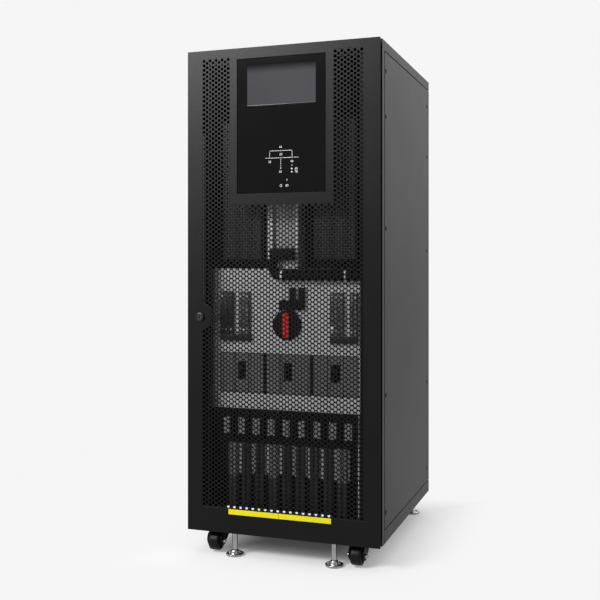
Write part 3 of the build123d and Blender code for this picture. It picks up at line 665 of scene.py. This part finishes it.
class CABINET_OT_display_frame(Operator):
    """Edge of the display's recess: a black strip along its bottom, and a pale strip above it as painted
    highlight on the recess's lower edge
    """

    bl_idname = "cabinet.display_frame"
    bl_label = "Display Frame"

    def execute(self, context):
        low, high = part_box("display_window")
        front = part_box("control_panel")[0].y + 0.1 * MM
        mask, painted_highlight_top = low.z + 1.3 * MM, low.z + 2.0 * MM
        for name, bottom, top, finish, slot in (
            ("display_mask", low.z, mask, "Control Panel", "panel_gloss"),
            # painted highlight: a pale grey strip for the light caught by the recess's lower edge
            ("display_lip_painted_highlight", mask, painted_highlight_top, "Grey Plastic and Painted Highlight", "grey_plastic"),
        ):
            bm = bmesh.new()
            add_box(bm, (low.x, front, bottom), (high.x, low.y, top), 0.15 * MM)
            add_piece(name, bm, finish, "door")
        return {"FINISHED"}


class CABINET_OT_strips(Operator):
    """Plain marking strip, the pale sheet behind the last holes and the seal behind the outermost ones"""

    bl_idname = "cabinet.strips"
    bl_label = "Marking Strip"

    def execute(self, context):
        skin, back = 0.25 * MM, DOOR_HIGH.y
        strips = ((-121.5, 42.0, -4.7, 53.4), (-4.1, 42.0, 113.0, 53.4))
        backing = ((-126, 50, 117, 59.8),)
        seal = ((-182.6, 508, -180.8, 873),)
        for name, finish, slot, front, rounding, boxes in (
            ("marking_strip", "Strip Yellow", "white_plastic", FACE - skin, 0.1 * MM, strips),
            ("marking_backing", "Label White", "white_plastic", back, 0.1 * MM, backing),
            ("door_seal", "Grille Paint", "frame_paint", back, 0.0, seal),
        ):
            bm = bmesh.new()
            for left, bottom, right, top in boxes:
                low = (left * MM, front, SILL + bottom * MM)
                high = (right * MM, front + skin, SILL + top * MM)
                add_box(bm, low, high, rounding, 1)
            add_piece(name, bm, finish, "door")
        return {"FINISHED"}


class CABINET_OT_lock(Operator):
    """Key lock with its rim, and a black block for its key slot as painted shade"""

    bl_idname = "cabinet.lock"
    bl_label = "Key Lock"

    def execute(self, context):
        low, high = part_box("door_lock")
        x, z = (low.x + high.x) / 2, (low.z + high.z) / 2
        radius, proud, deep = (high.x - low.x) / 2, FACE - low.y, high.y - low.y
        shares = (
            (0, 0.2), (0.42, 0.2), (0.46, 0.14), (0.56, 0.14), (0.62, 0.5), (0.68, 0.5), (0.74, 0.08),
            (0.80, 0), (0.90, 0.06), (0.98, 0.35), (1, 1), (0.84, 1),
        )
        profile = [(r * radius, a * proud) for r, a in shares] + [(0.84 * radius, deep), (0, deep)]
        bm = bmesh.new()
        add_turned(bm, profile, (x, low.y, z), Y_AXIS, 48)
        add_piece("lock_barrel", bm, "Lock Metal", "door", "door_lock")
        across, rise = 1.6 * MM, 2.9 * MM  # half the key slot
        # painted shade: a black block on the plug's face stands for the shadow in the key slot
        bm = bmesh.new()
        add_box(bm, (x - across, low.y + 0.7 * MM, z - rise), (x + across, low.y + 1.3 * MM, z + rise))
        add_piece("lock_keyhole_painted_shade", bm, "Toggle Black and Painted Shade", "door")
        return {"FINISHED"}


# Inside fittings


class CABINET_OT_modules(Operator):
    """Power modules with fine perforated fronts"""

    bl_idname = "cabinet.modules"
    bl_label = "Power Modules"

    def execute(self, context):
        sizes = context.scene.cabinet_fittings
        solid = "power_modules"
        low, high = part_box(solid)
        rim, depth, set_back, sheet = 5 * MM, 5 * MM, 1.0 * MM, 0.8 * MM
        gap = sizes.module_gap
        for name, left, right in (("left", low.x, -gap), ("right", gap, high.x)):
            bm = bmesh.new()
            add_box(bm, (left, low.y + depth, low.z), (right, high.y, high.z), 0.4 * MM)
            add_rim(bm, (left, low.y, low.z), (right, low.y + depth + 1 * MM, high.z), rim)
            add_piece(f"module_body_{name}", bm, "Frame Paint", replaces=solid)
            columns = round((right - left - 2 * rim) / sizes.grille_pitch)
            rows = round((high.z - low.z - 2 * rim) / sizes.grille_pitch)
            width, height = (right - left - 2 * rim) / columns, (high.z - low.z - 2 * rim) / rows
            top, front = high.z - rim - height / 2, low.y + set_back
            bm = bmesh.new()
            for column in range(columns):
                x = left + rim + width * (column + 0.5)
                add_hole_run(bm, x, top, rows, front, sizes.grille_hole, width, height)
            thicken(bm, sheet)
            add_piece(f"module_grille_{name}", bm, "Grille Paint", replaces=solid)
        return {"FINISHED"}


class CABINET_OT_cables(Operator):
    """Sleeved cables under the terminals, in pairs"""

    bl_idname = "cabinet.cables"
    bl_label = "Power Cables"

    def execute(self, context):
        pair = context.scene.cabinet_fittings.cable_pair
        low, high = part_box("light_conductors")
        pitch = (high.x - low.x - pair) / 8
        radius, rise = pair / 4, high.z - low.z
        profile = (
            (0, 0), (0.85 * radius, 0), (radius, 0.2 * radius), (radius, rise - radius),
            (0.86 * radius, rise - 0.3 * radius), (0.6 * radius, rise), (0, rise),
        )
        for name, finish, slot, node, numbers in (
            ("dark_cables", "Dark Sleeve", "rubber", "dark_conductors", (1, 2, 4, 5, 6, 7)),
            ("light_cables", "Light Sleeve", "grey_plastic", "light_conductors", (0, 3, 8)),
        ):
            bm = bmesh.new()
            for number in numbers:
                for side in (-1, 1):
                    x = low.x + pair / 2 + pitch * number + side * radius
                    add_turned(bm, profile, (x, (low.y + high.y) / 2, low.z), Z_AXIS, 24)
            add_piece(name, bm, finish, replaces=node)
        return {"FINISHED"}


class CABINET_OT_terminals(Operator):
    """Terminal screws with their washers, and the zinc strip beside the terminals"""

    bl_idname = "cabinet.terminals"
    bl_label = "Terminals"

    def execute(self, context):
        low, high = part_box("terminal_tabs")
        tab = 16 * MM
        pitch = (high.x - low.x - tab) / 8
        profile = (
            (0, -2.6), (1.2, -2.6), (1.4, -3.2), (3.0, -3.4), (3.9, -2.8), (4.2, -1.8), (4.2, -0.9),
            (6.2, -0.9), (6.2, 0.2),
        )
        bm = bmesh.new()
        for number in range(9):
            x = low.x + tab / 2 + pitch * number
            add_turned(bm, profile, (x, low.y, (low.z + high.z) / 2), Y_AXIS, 20, MM)
        add_piece("terminal_screws", bm, "Dull Zinc")
        low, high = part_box("terminal_block")
        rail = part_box("dark_conductors")[0].z
        bm = bmesh.new()
        add_box(bm, (high.x, low.y + 8 * MM, rail), (high.x + 3 * MM, low.y + 30 * MM, high.z), 0.4 * MM)
        add_piece("side_strip", bm, "Galvanised")
        low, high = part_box("backing_plate")
        bm = bmesh.new()
        for left, right in ((low.x, -140 * MM), (142 * MM, high.x)):
            add_box(bm, (left, low.y - 1.5 * MM, low.z), (right, low.y, high.z - 0.2 * MM), 0.4 * MM)
        add_piece("plate_covers", bm, "Black Plastic")
        return {"FINISHED"}


class CABINET_OT_surge(Operator):
    """Surge protection units: cartridges, windows and screws"""

    bl_idname = "cabinet.surge"
    bl_label = "Surge Units"

    def execute(self, context):
        low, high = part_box("surge_units")
        foot, front = low.z + 14 * MM, low.y + 4 * MM
        black, grey, bright, knob = [bmesh.new() for _ in range(4)]
        screw = ((0, -0.9), (1.6, -1.1), (2.2, -0.6), (2.3, 0.2))
        dome = ((0, -3.4), (3.0, -3.2), (5.2, -2.4), (5.7, 0.2))
        gap = 0.5 * MM
        for bm, ribs, left, right in (
            (black, 3, -158, -127), (grey, 3, -113, -88), (grey, 3, 99, 129), (grey, 2, 143, 160),
        ):
            add_box(bm, (left * MM, front, foot + 1 * MM), (right * MM, high.y, high.z), 0.6 * MM)
            step = (right - left) * MM / ribs
            for rib in range(ribs):
                start = left * MM + step * rib
                add_box(
                    bm, (start + gap, low.y + 0.6 * MM, foot + 22 * MM),
                    (start + step - gap, low.y + 6 * MM, high.z - 20 * MM), 0.9 * MM,
                )
                for height in (foot + 11 * MM, high.z - 10 * MM):
                    add_turned(bright, screw, (start + step / 2, front, height), Y_AXIS, 12, MM)
        for left, right in ((-158, -85), (99, 160)):
            add_box(black, (left * MM, low.y + 2 * MM, low.z), (right * MM, high.y, foot), 0.8 * MM)
        add_turned(knob, dome, (103.4 * MM, front, foot + 19 * MM), Y_AXIS, 16, MM)
        add_piece("surge_black", black, "Mottled Black", replaces="surge_units")
        add_piece("surge_grey", grey, "Mottled Grey", replaces="surge_units")
        add_piece("surge_screws", bright, "Galvanised")
        add_piece("surge_knob", knob, "White Plastic")
        return {"FINISHED"}


class CABINET_OT_breaker_fronts(Operator):
    """Dark pole lines and edge lines and black slot walls on the breakers, as painted shade in the pole grooves,
    along the breakers' edges and in the toggle slots
    """

    bl_idname = "cabinet.breaker_fronts"
    bl_label = "Breaker Fronts"

    def execute(self, context):
        low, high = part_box("breakers")
        width, pitch, skin, line = 103 * MM, 109 * MM, 0.5 * MM, 0.7 * MM
        across, rise, depth = 10 * MM, 20 * MM, 15.9 * MM  # half the slot, and its depth
        slot = (low.z + high.z) / 2 + 4.5 * MM
        bottom, top, floor = slot - rise, slot + rise, low.y + depth
        slot_shade, lines = bmesh.new(), bmesh.new()
        for number in (-1, 0, 1):
            x = number * pitch
            left, right = x - across, x + across
            # painted shade: black walls and floor inside each toggle slot
            add_rim(slot_shade, (left, low.y - 0.1 * MM, bottom), (right, floor, top), 0.15 * MM)
            add_box(slot_shade, (left, floor - 0.2 * MM, bottom), (right, floor, top))
            # painted shade: dark lines for the pole grooves and along each breaker's edges
            for side in (-1, 1):
                pole = x + side * width / 6
                for start, end in ((low.z, bottom), (top, high.z)):
                    add_box(lines, (pole - line, low.y - skin, start), (pole + line, low.y, end))
                edge = x + side * (width / 2 - 0.5 * MM)
                add_box(lines, (edge - 0.5 * MM, low.y - skin, low.z), (edge + 0.5 * MM, low.y, high.z))
        add_piece("breaker_slot_painted_shade", slot_shade, "Toggle Black and Painted Shade")
        add_piece("breaker_line_painted_shade", lines, "Toggle Black and Painted Shade")
        return {"FINISHED"}


class CABINET_OT_column(Operator):
    """Lighter strips over the centre column's lips and a bracket under the plug, as painted light"""

    bl_idname = "cabinet.column"
    bl_label = "Column Lips"

    def execute(self, context):
        low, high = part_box("centre_column")
        skin = 0.3 * MM
        bm = bmesh.new()
        # painted light: a lighter copy of the galvanised sheet over the lips and on the bracket
        for left, right in ((low.x, low.x + 12 * MM), (high.x - 7.5 * MM, high.x)):
            add_box(bm, (left, low.y - skin, low.z), (right, low.y, high.z))
        add_box(bm, (-19 * MM, low.y - 4 * MM, low.z), (high.x, low.y, low.z + 19 * MM), 0.4 * MM)
        add_piece("column_lips_painted_light", bm, "Painted Light Sheet")
        return {"FINISHED"}


class CABINET_OT_loom(Operator):
    """Wiring loom in its conduit, with the plug at its end"""

    bl_idname = "cabinet.loom"
    bl_label = "Wiring Loom"

    def execute(self, context):
        radius = context.scene.cabinet_fittings.loom_radius
        low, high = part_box("wiring_loom")
        plug_left, plug_right, plug_low, plug_high = -36 * MM, 15.5 * MM, 650 * MM, 676 * MM
        bend, riser = 20 * MM, -30.5 * MM
        level, y = low.z + radius, FACE + 32.5 * MM
        corner = riser + bend
        reach, groove, tube = high.x - corner, 0.93 * radius, 0.97 * radius
        bm = bmesh.new()
        profile = [(0, 0)]
        along, step = 0.0, 3.0 * MM
        while along < reach:
            profile += [(radius, along), (radius, along + 0.5 * step), (groove, along + 0.62 * step),
                        (groove, along + 0.88 * step)]
            along += step
        profile = [(r, min(a, reach)) for r, a in profile] + [(0, reach)]
        add_turned(bm, profile, (corner, y, level), X_AXIS, 20)
        place = Matrix.Translation((corner, y, level)) @ Matrix.Rotation(math.pi / 2, 4, "Y")
        ring = bmesh.ops.create_circle(bm, segments=20, radius=tube, matrix=place)["verts"]
        bmesh.ops.spin(
            bm, geom=ring + edges_of(ring), cent=(corner, y, level + bend), axis=Y_AXIS, angle=math.pi / 2,
            steps=10,
        )
        add_turned(bm, ((tube, level + bend), (tube, plug_low + 2 * MM)), (riser, y, 0), Z_AXIS, 20)
        add_box(bm, (plug_left, FACE + 29 * MM, plug_low), (plug_right, high.y, plug_high), 1.6 * MM, 3)
        panel_low, panel_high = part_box("switch_panel")
        add_box(bm, (corner, panel_low.y - 1 * MM, low.z), (high.x, panel_low.y, panel_high.z), 0.3 * MM)
        add_piece("loom_conduit", bm, "Black Plastic", replaces="wiring_loom")
        return {"FINISHED"}


# Outside fittings


class CABINET_OT_screws(Operator):
    """Panel screws on the sides and the back"""

    bl_idname = "cabinet.screws"
    bl_label = "Panel Screws"

    def execute(self, context):
        sizes = context.scene.cabinet_fittings
        shares = ((0, -0.35), (0.32, -0.35), (0.36, -0.9), (0.55, -1), (0.8, -0.78), (1, -0.2), (1, 0.2))
        profile = [(r * sizes.screw_radius, a * sizes.screw_proud) for r, a in shares]
        half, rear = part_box("right_side_panel")[1].x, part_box("rear_panel")[1].y
        columns = ((47, (997, 901, 664, 312, 64)), (488, (993, 863, 622, 286, 64)))
        for name, sign in (("side_screws_right", 1), ("side_screws_left", -1)):
            side, inward = sign * half, (-sign, 0, 0)
            bm = bmesh.new()
            for depth, heights in columns:
                for height in heights:
                    add_turned(bm, profile, (side, FACE + depth * MM, SILL + height * MM), inward, 20)
            add_turned(bm, profile, (side, FACE + 269 * MM, SILL + 1024 * MM), inward, 12, 0.35)
            add_piece(name, bm, "Screw Black and Painted Shade")
        bm = bmesh.new()
        for x in (-208, 208):
            for height in (64, 310, 560, 800, 1000):
                add_turned(bm, profile, (x * MM, rear, SILL + height * MM), (0, -1, 0), 20)
        add_piece("rear_screws", bm, "Screw Black and Painted Shade")
        return {"FINISHED"}


class CABINET_OT_seams(Operator):
    """Dark strips behind the open joints between the panels, as painted shade in the joints"""

    bl_idname = "cabinet.seams"
    bl_label = "Panel Seams"

    def execute(self, context):
        half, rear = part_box("roof")[1].xy
        low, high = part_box("right_side_panel")
        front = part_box("front_frame")[1].y
        sheet, skin, lap, joint, gap, sunk = 1.5 * MM, 0.4 * MM, 5 * MM, 2 * MM, 0.05 * MM, 0.15 * MM
        inner, back = half - sheet, rear - sheet
        bm = bmesh.new()
        for level in (low.z - joint / 2, high.z + joint / 2):
            below, above = level - lap, level + lap
            add_box(bm, (-inner, back - skin, below), (inner, back - gap, above))
            for side in (-1, 1):
                left, right = sorted((side * (inner - skin), side * (inner - gap)))
                add_box(bm, (left, front, below), (right, back, above))
        for start, end in ((front, low.y), (high.y, high.y + joint)):
            for side in (-1, 1):
                left, right = sorted((side * (inner - skin), side * (half - sunk)))
                add_box(bm, (left, start + gap, low.z), (right, end - gap, high.z))
        # painted shade: black strips that darken the open joints
        add_piece("seam_painted_shade", bm, "Screw Black and Painted Shade")
        return {"FINISHED"}


class CABINET_OT_feet(Operator):
    """Levelling feet: dished pads with three rivets and polished studs"""

    bl_idname = "cabinet.feet"
    bl_label = "Levelling Feet"

    def execute(self, context):
        stud = context.scene.cabinet_fittings.stud_radius / MM
        pad = [
            (0, 0), (18.8, 0), (19.7, 0.5), (20, 1.3), (19.9, 4.0), (19.4, 4.9), (18.6, 5.2), (17.8, 5.0),
            (17.2, 4.2), (16.6, 3.4), (13.0, 3.2), (11.6, 3.8), (10.6, 5.6), (9.8, 8.8), (9.0, 11.0),
            (7.9, 12.4), (stud + 0.6, 13.0), (stud, 13.4),
        ]
        rivet, ring = 2.9 * MM, 14.7 * MM
        bm = bmesh.new()
        for mount in frame["record"]["mounts"]:
            x, y, _ = mount["pos_m"]
            top = (SILL if y < 0 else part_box("levelling_feet")[1].z) / MM
            add_turned(bm, pad + [(stud, top), (0, top)], (x, y, 0), Z_AXIS, 40, MM)
            for turn in (-71, 49, 169):
                angle = math.radians(turn)
                place = Matrix.Translation((x + ring * math.cos(angle), y + ring * math.sin(angle), 3.4 * MM))
                bmesh.ops.create_uvsphere(bm, u_segments=14, v_segments=8, radius=rivet, matrix=place)
        add_piece("foot_pads", bm, "Zinc", replaces="levelling_feet")
        return {"FINISHED"}


class CABINET_OT_casters(Operator):
    """Caster wheels, bent forks and axle bolts"""

    bl_idname = "cabinet.casters"
    bl_label = "Casters"

    def execute(self, context):
        shares = [
            (0.16, 1.0), (0.40, 1.0), (0.43, 0.80), (0.66, 0.76), (0.72, 0.96), (0.82, 1.0), (0.90, 0.97),
            (0.96, 0.88), (0.99, 0.70), (1.0, 0.40), (1.0, 0.0),
        ]
        shares += [(r, -a) for r, a in shares[-2::-1]] + [(0.16, 1.0)]
        for corner in CORNERS:
            node = f"caster_wheel_{corner}"
            low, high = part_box(node)
            centre, (half, _, radius) = (low + high) / 2, (high - low) / 2
            bm = bmesh.new()
            add_turned(bm, [(r * radius, a * half) for r, a in shares], centre, X_AXIS, 48)
            add_piece(f"wheel_tyre_{corner}", bm, "Tyre", f"wheel_{corner}", node)
            self.add_fork(corner, centre)
        return {"FINISHED"}

    def add_fork(self, corner, axle):
        node, body = f"caster_fork_{corner}", f"caster_{corner}"
        low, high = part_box(node)
        pin = 4.5 * MM  # king pin and gap above the crown
        crown = high.z - pin
        reach, sheet, drop = 12 * MM, 3 * MM, 11 * MM  # half the crown's depth, its thickness, its gussets
        inner, outer, shoulder = 14.5 * MM, 17 * MM, 22 * MM
        swivel = high.y - reach
        front, back = swivel - reach, swivel + reach
        cheek = ((14, -4), (9, -9), (0, -11), (-8, -9), (-13, -2), (-14, 8), (-10, 15), (0, 20))
        outline = [(back, crown), (back, crown - 8 * MM)]
        outline += [(axle.y + y * MM, axle.z + z * MM) for y, z in cheek] + [(front, crown)]
        gusset = (
            (inner, crown), (shoulder, crown), (shoulder, crown - sheet), (outer, crown - drop),
            (inner, crown - drop),
        )
        bm = bmesh.new()
        for side in (-1, 1):
            add_plate(bm, [(axle.x + side * outer, y, z) for y, z in outline], (side * (inner - outer), 0, 0))
            add_plate(bm, [(axle.x + side * x, front, z) for x, z in gusset], (0, 2 * reach, 0))
        add_box(bm, (axle.x - shoulder, front, crown - sheet), (axle.x + shoulder, back, crown), 0.8 * MM)
        add_turned(bm, ((0, 0), (5 * MM, 0), (5 * MM, pin), (0, pin)), (axle.x, swivel, crown), Z_AXIS, 24)
        add_piece(f"fork_{corner}", bm, "Black Plastic", body, node)
        half = (high.x - low.x) / 2 / MM
        ends = [
            (0, half), (2.4, half - 0.2), (3.9, half - 1.0), (4.6, half - 2.4), (4.6, 18.4), (6.4, 18.2),
            (6.4, 17),
        ]
        bolt = ends + [(3.2, 17), (3.2, -17)] + [(r, -a) for r, a in reversed(ends)]
        bm = bmesh.new()
        add_turned(bm, bolt, axle, X_AXIS, 24, MM)
        add_piece(f"axle_bolt_{corner}", bm, "Zinc", body)


# Stage


class CABINET_OT_stage(Operator):
    """Camera, floor, light and background"""

    bl_idname = "cabinet.stage"
    bl_label = "Stage"

    def execute(self, context):
        scene = context.scene
        stage = scene.cabinet_stage
        scene.view_settings.view_transform = "Standard"
        lens = bpy.data.cameras.new("Camera")
        lens.lens = stage.lens
        lens.shift_y = stage.shift_y
        camera = bpy.data.objects.new("Camera", lens)
        camera.location = stage.camera_place
        camera.rotation_euler = (math.radians(90), 0, stage.camera_turn)
        scene.collection.objects.link(camera)
        scene.camera = camera

        bm = bmesh.new()
        bmesh.ops.create_grid(bm, x_segments=1, y_segments=1, size=60.0)
        mesh = bpy.data.meshes.new("floor")
        bm.to_mesh(mesh)
        bm.free()
        floor = bpy.data.objects.new("floor", mesh)
        scene.collection.objects.link(floor)
        self.floor_finish("Floor", stage.floor, stage.backdrop)
        mesh.materials.append(bpy.data.materials["Floor"])

        for name, place, aim, size, power in (
            ("Key Light", (-1.38, -2.5, 2.2), (0.0, -0.25, 0.6), (1.25, 0.8), 100.0),
            ("Left Light", (-1.7, -2.4, 1.25), (0.0, -0.25, 0.7), (0.5, 0.9), 10.7),
            ("Top Light", (0.2, -0.2, 3.4), (0.0, 0.0, 0.0), (3.2, 3.2), 21.4),
            ("Side Light", (2.6, 0.3, 1.9), (0.2, 0.0, 0.6), (1.4, 1.6), 14.0),
            ("Rear Light", (-0.8, 2.8, 2.2), (0.0, 0.2, 0.6), (1.6, 1.6), 17.0),
        ):
            lamp = bpy.data.lights.new(name, "AREA")
            lamp.shape = "RECTANGLE"
            lamp.size, lamp.size_y = size
            lamp.energy = power
            holder = bpy.data.objects.new(name, lamp)
            holder.location = place
            holder.rotation_euler = (Vector(aim) - Vector(place)).to_track_quat("-Z", "Y").to_euler()
            holder.visible_camera = False
            scene.collection.objects.link(holder)
        self.make_world(scene, stage.backdrop)
        return {"FINISHED"}

    def seen(self, tree):
        """1 for the rays that show the background: from the camera, off gloss and through glass."""
        path = add_node(tree, "LightPath").outputs
        shown = calculate(tree, "MAXIMUM", path["Is Camera Ray"], path["Is Glossy Ray"])
        return calculate(tree, "MAXIMUM", shown, path["Is Transmission Ray"])

    def floor_finish(self, name, tone, backdrop):
        """Pale floor that takes the shadow near the cabinet and runs into the background further off."""
        tree, shader, place = start_finish(name)
        fold = add_node(tree, "VectorMath", {0: place}, operation="ABSOLUTE").outputs["Vector"]
        past = add_node(tree, "VectorMath", {0: fold, 1: (*cad_box[1].xy, 0)}, operation="SUBTRACT")
        beyond = axes_of(tree, past.outputs["Vector"])
        reach = calculate(tree, "MAXIMUM", beyond["X"], beyond["Y"])
        fade = ranged(tree, reach, low=0.04, start=-0.14, end=0.16, interpolation_type="SMOOTHSTEP")
        share = calculate(tree, "MULTIPLY", fade, self.seen(tree))
        strength = ranged(tree, add_node(tree, "LightPath").outputs["Is Camera Ray"], 0.66, 1.0)
        glow = add_node(tree, "Emission", {"Color": (*backdrop, 1), "Strength": strength})
        surface = group_node(tree, "Surface Grain", place, Grain_Scale=60.0, Drift_Scale=1.5)
        pale = blend(tree, surface["Drift"], toned(tone, 0.99), tone)
        feed(shader, {"Base Color": pale, "Roughness": 0.6, "Specular IOR Level": 0.1})
        ends = {1: shader.outputs["BSDF"], 2: glow.outputs["Emission"]}
        mix = add_node(tree, "MixShader", {"Fac": share, **ends})
        feed(tree.nodes["Material Output"], {"Surface": mix.outputs["Shader"]})

    def make_world(self, scene, tone):
        """Plain background: white to the camera, brighter overhead and behind in gloss, a soft fill."""
        world = bpy.data.worlds.new("Studio")
        world.use_nodes = True
        tree = world.node_tree
        fill = tree.nodes["Background"]
        feed(fill, {"Color": (1, 1, 1, 1), "Strength": 0.36})
        way = axes_of(tree, add_node(tree, "TexCoord").outputs["Generated"])
        height = ranged(tree, way["Z"], 0.57, 1.22, start=-0.1, end=0.3)
        front = ranged(tree, way["Y"], 0.39, 1.0, start=-0.5, end=0.3)
        room = calculate(tree, "MULTIPLY", height, front)
        camera = add_node(tree, "LightPath").outputs["Is Camera Ray"]
        level = add_node(tree, "Mix", {"Factor": camera, "A": room, "B": 1.0}).outputs["Result"]
        white = add_node(tree, "Background", {"Color": (*tone, 1), "Strength": level})
        ends = {1: fill.outputs["Background"], 2: white.outputs["Background"]}
        mix = add_node(tree, "MixShader", {"Fac": self.seen(tree), **ends})
        feed(tree.nodes["World Output"], {"Surface": mix.outputs["Shader"]})
        scene.world = world


# Interface

STEPS = (
    CABINET_OT_finishes,
    CABINET_OT_stage,
    CABINET_OT_perforation,
    CABINET_OT_panel_marks,
    CABINET_OT_display_frame,
    CABINET_OT_strips,
    CABINET_OT_lock,
    CABINET_OT_modules,
    CABINET_OT_cables,
    CABINET_OT_terminals,
    CABINET_OT_surge,
    CABINET_OT_breaker_fronts,
    CABINET_OT_column,
    CABINET_OT_loom,
    CABINET_OT_screws,
    CABINET_OT_seams,
    CABINET_OT_feet,
    CABINET_OT_casters,
)
SETTINGS = {
    "cabinet_door": DoorSizes,
    "cabinet_fittings": FittingSizes,
    "cabinet_colours": FinishColours,
    "cabinet_stage": StageSettings,
}


class CABINET_PT_dressing(Panel):
    """Steps and settings of the cabinet"""

    bl_label = "Power Cabinet"
    bl_space_type = "VIEW_3D"
    bl_region_type = "UI"
    bl_category = "Cabinet"

    def draw(self, context):
        column = self.layout.column(align=True)
        for step in STEPS:
            column.operator(step.bl_idname)
        for settings in SETTINGS:
            group = getattr(context.scene, settings)
            box = self.layout.box()
            for name in group.bl_rna.properties.keys():
                if name not in ("rna_type", "name"):
                    box.prop(group, name)


CLASSES = (*SETTINGS.values(), *STEPS, CABINET_PT_dressing)


def register():
    for cls in CLASSES:
        bpy.utils.register_class(cls)
    for name, cls in SETTINGS.items():
        setattr(bpy.types.Scene, name, PointerProperty(type=cls))


def unregister():
    for name in SETTINGS:
        delattr(bpy.types.Scene, name)
    for cls in reversed(CLASSES):
        bpy.utils.unregister_class(cls)


def main():
    register()
    for step in STEPS:
        family, name = step.bl_idname.split(".")
        getattr(getattr(bpy.ops, family), name)()
    bpy.context.view_layer.update()


if __name__ == "__main__":
    main()
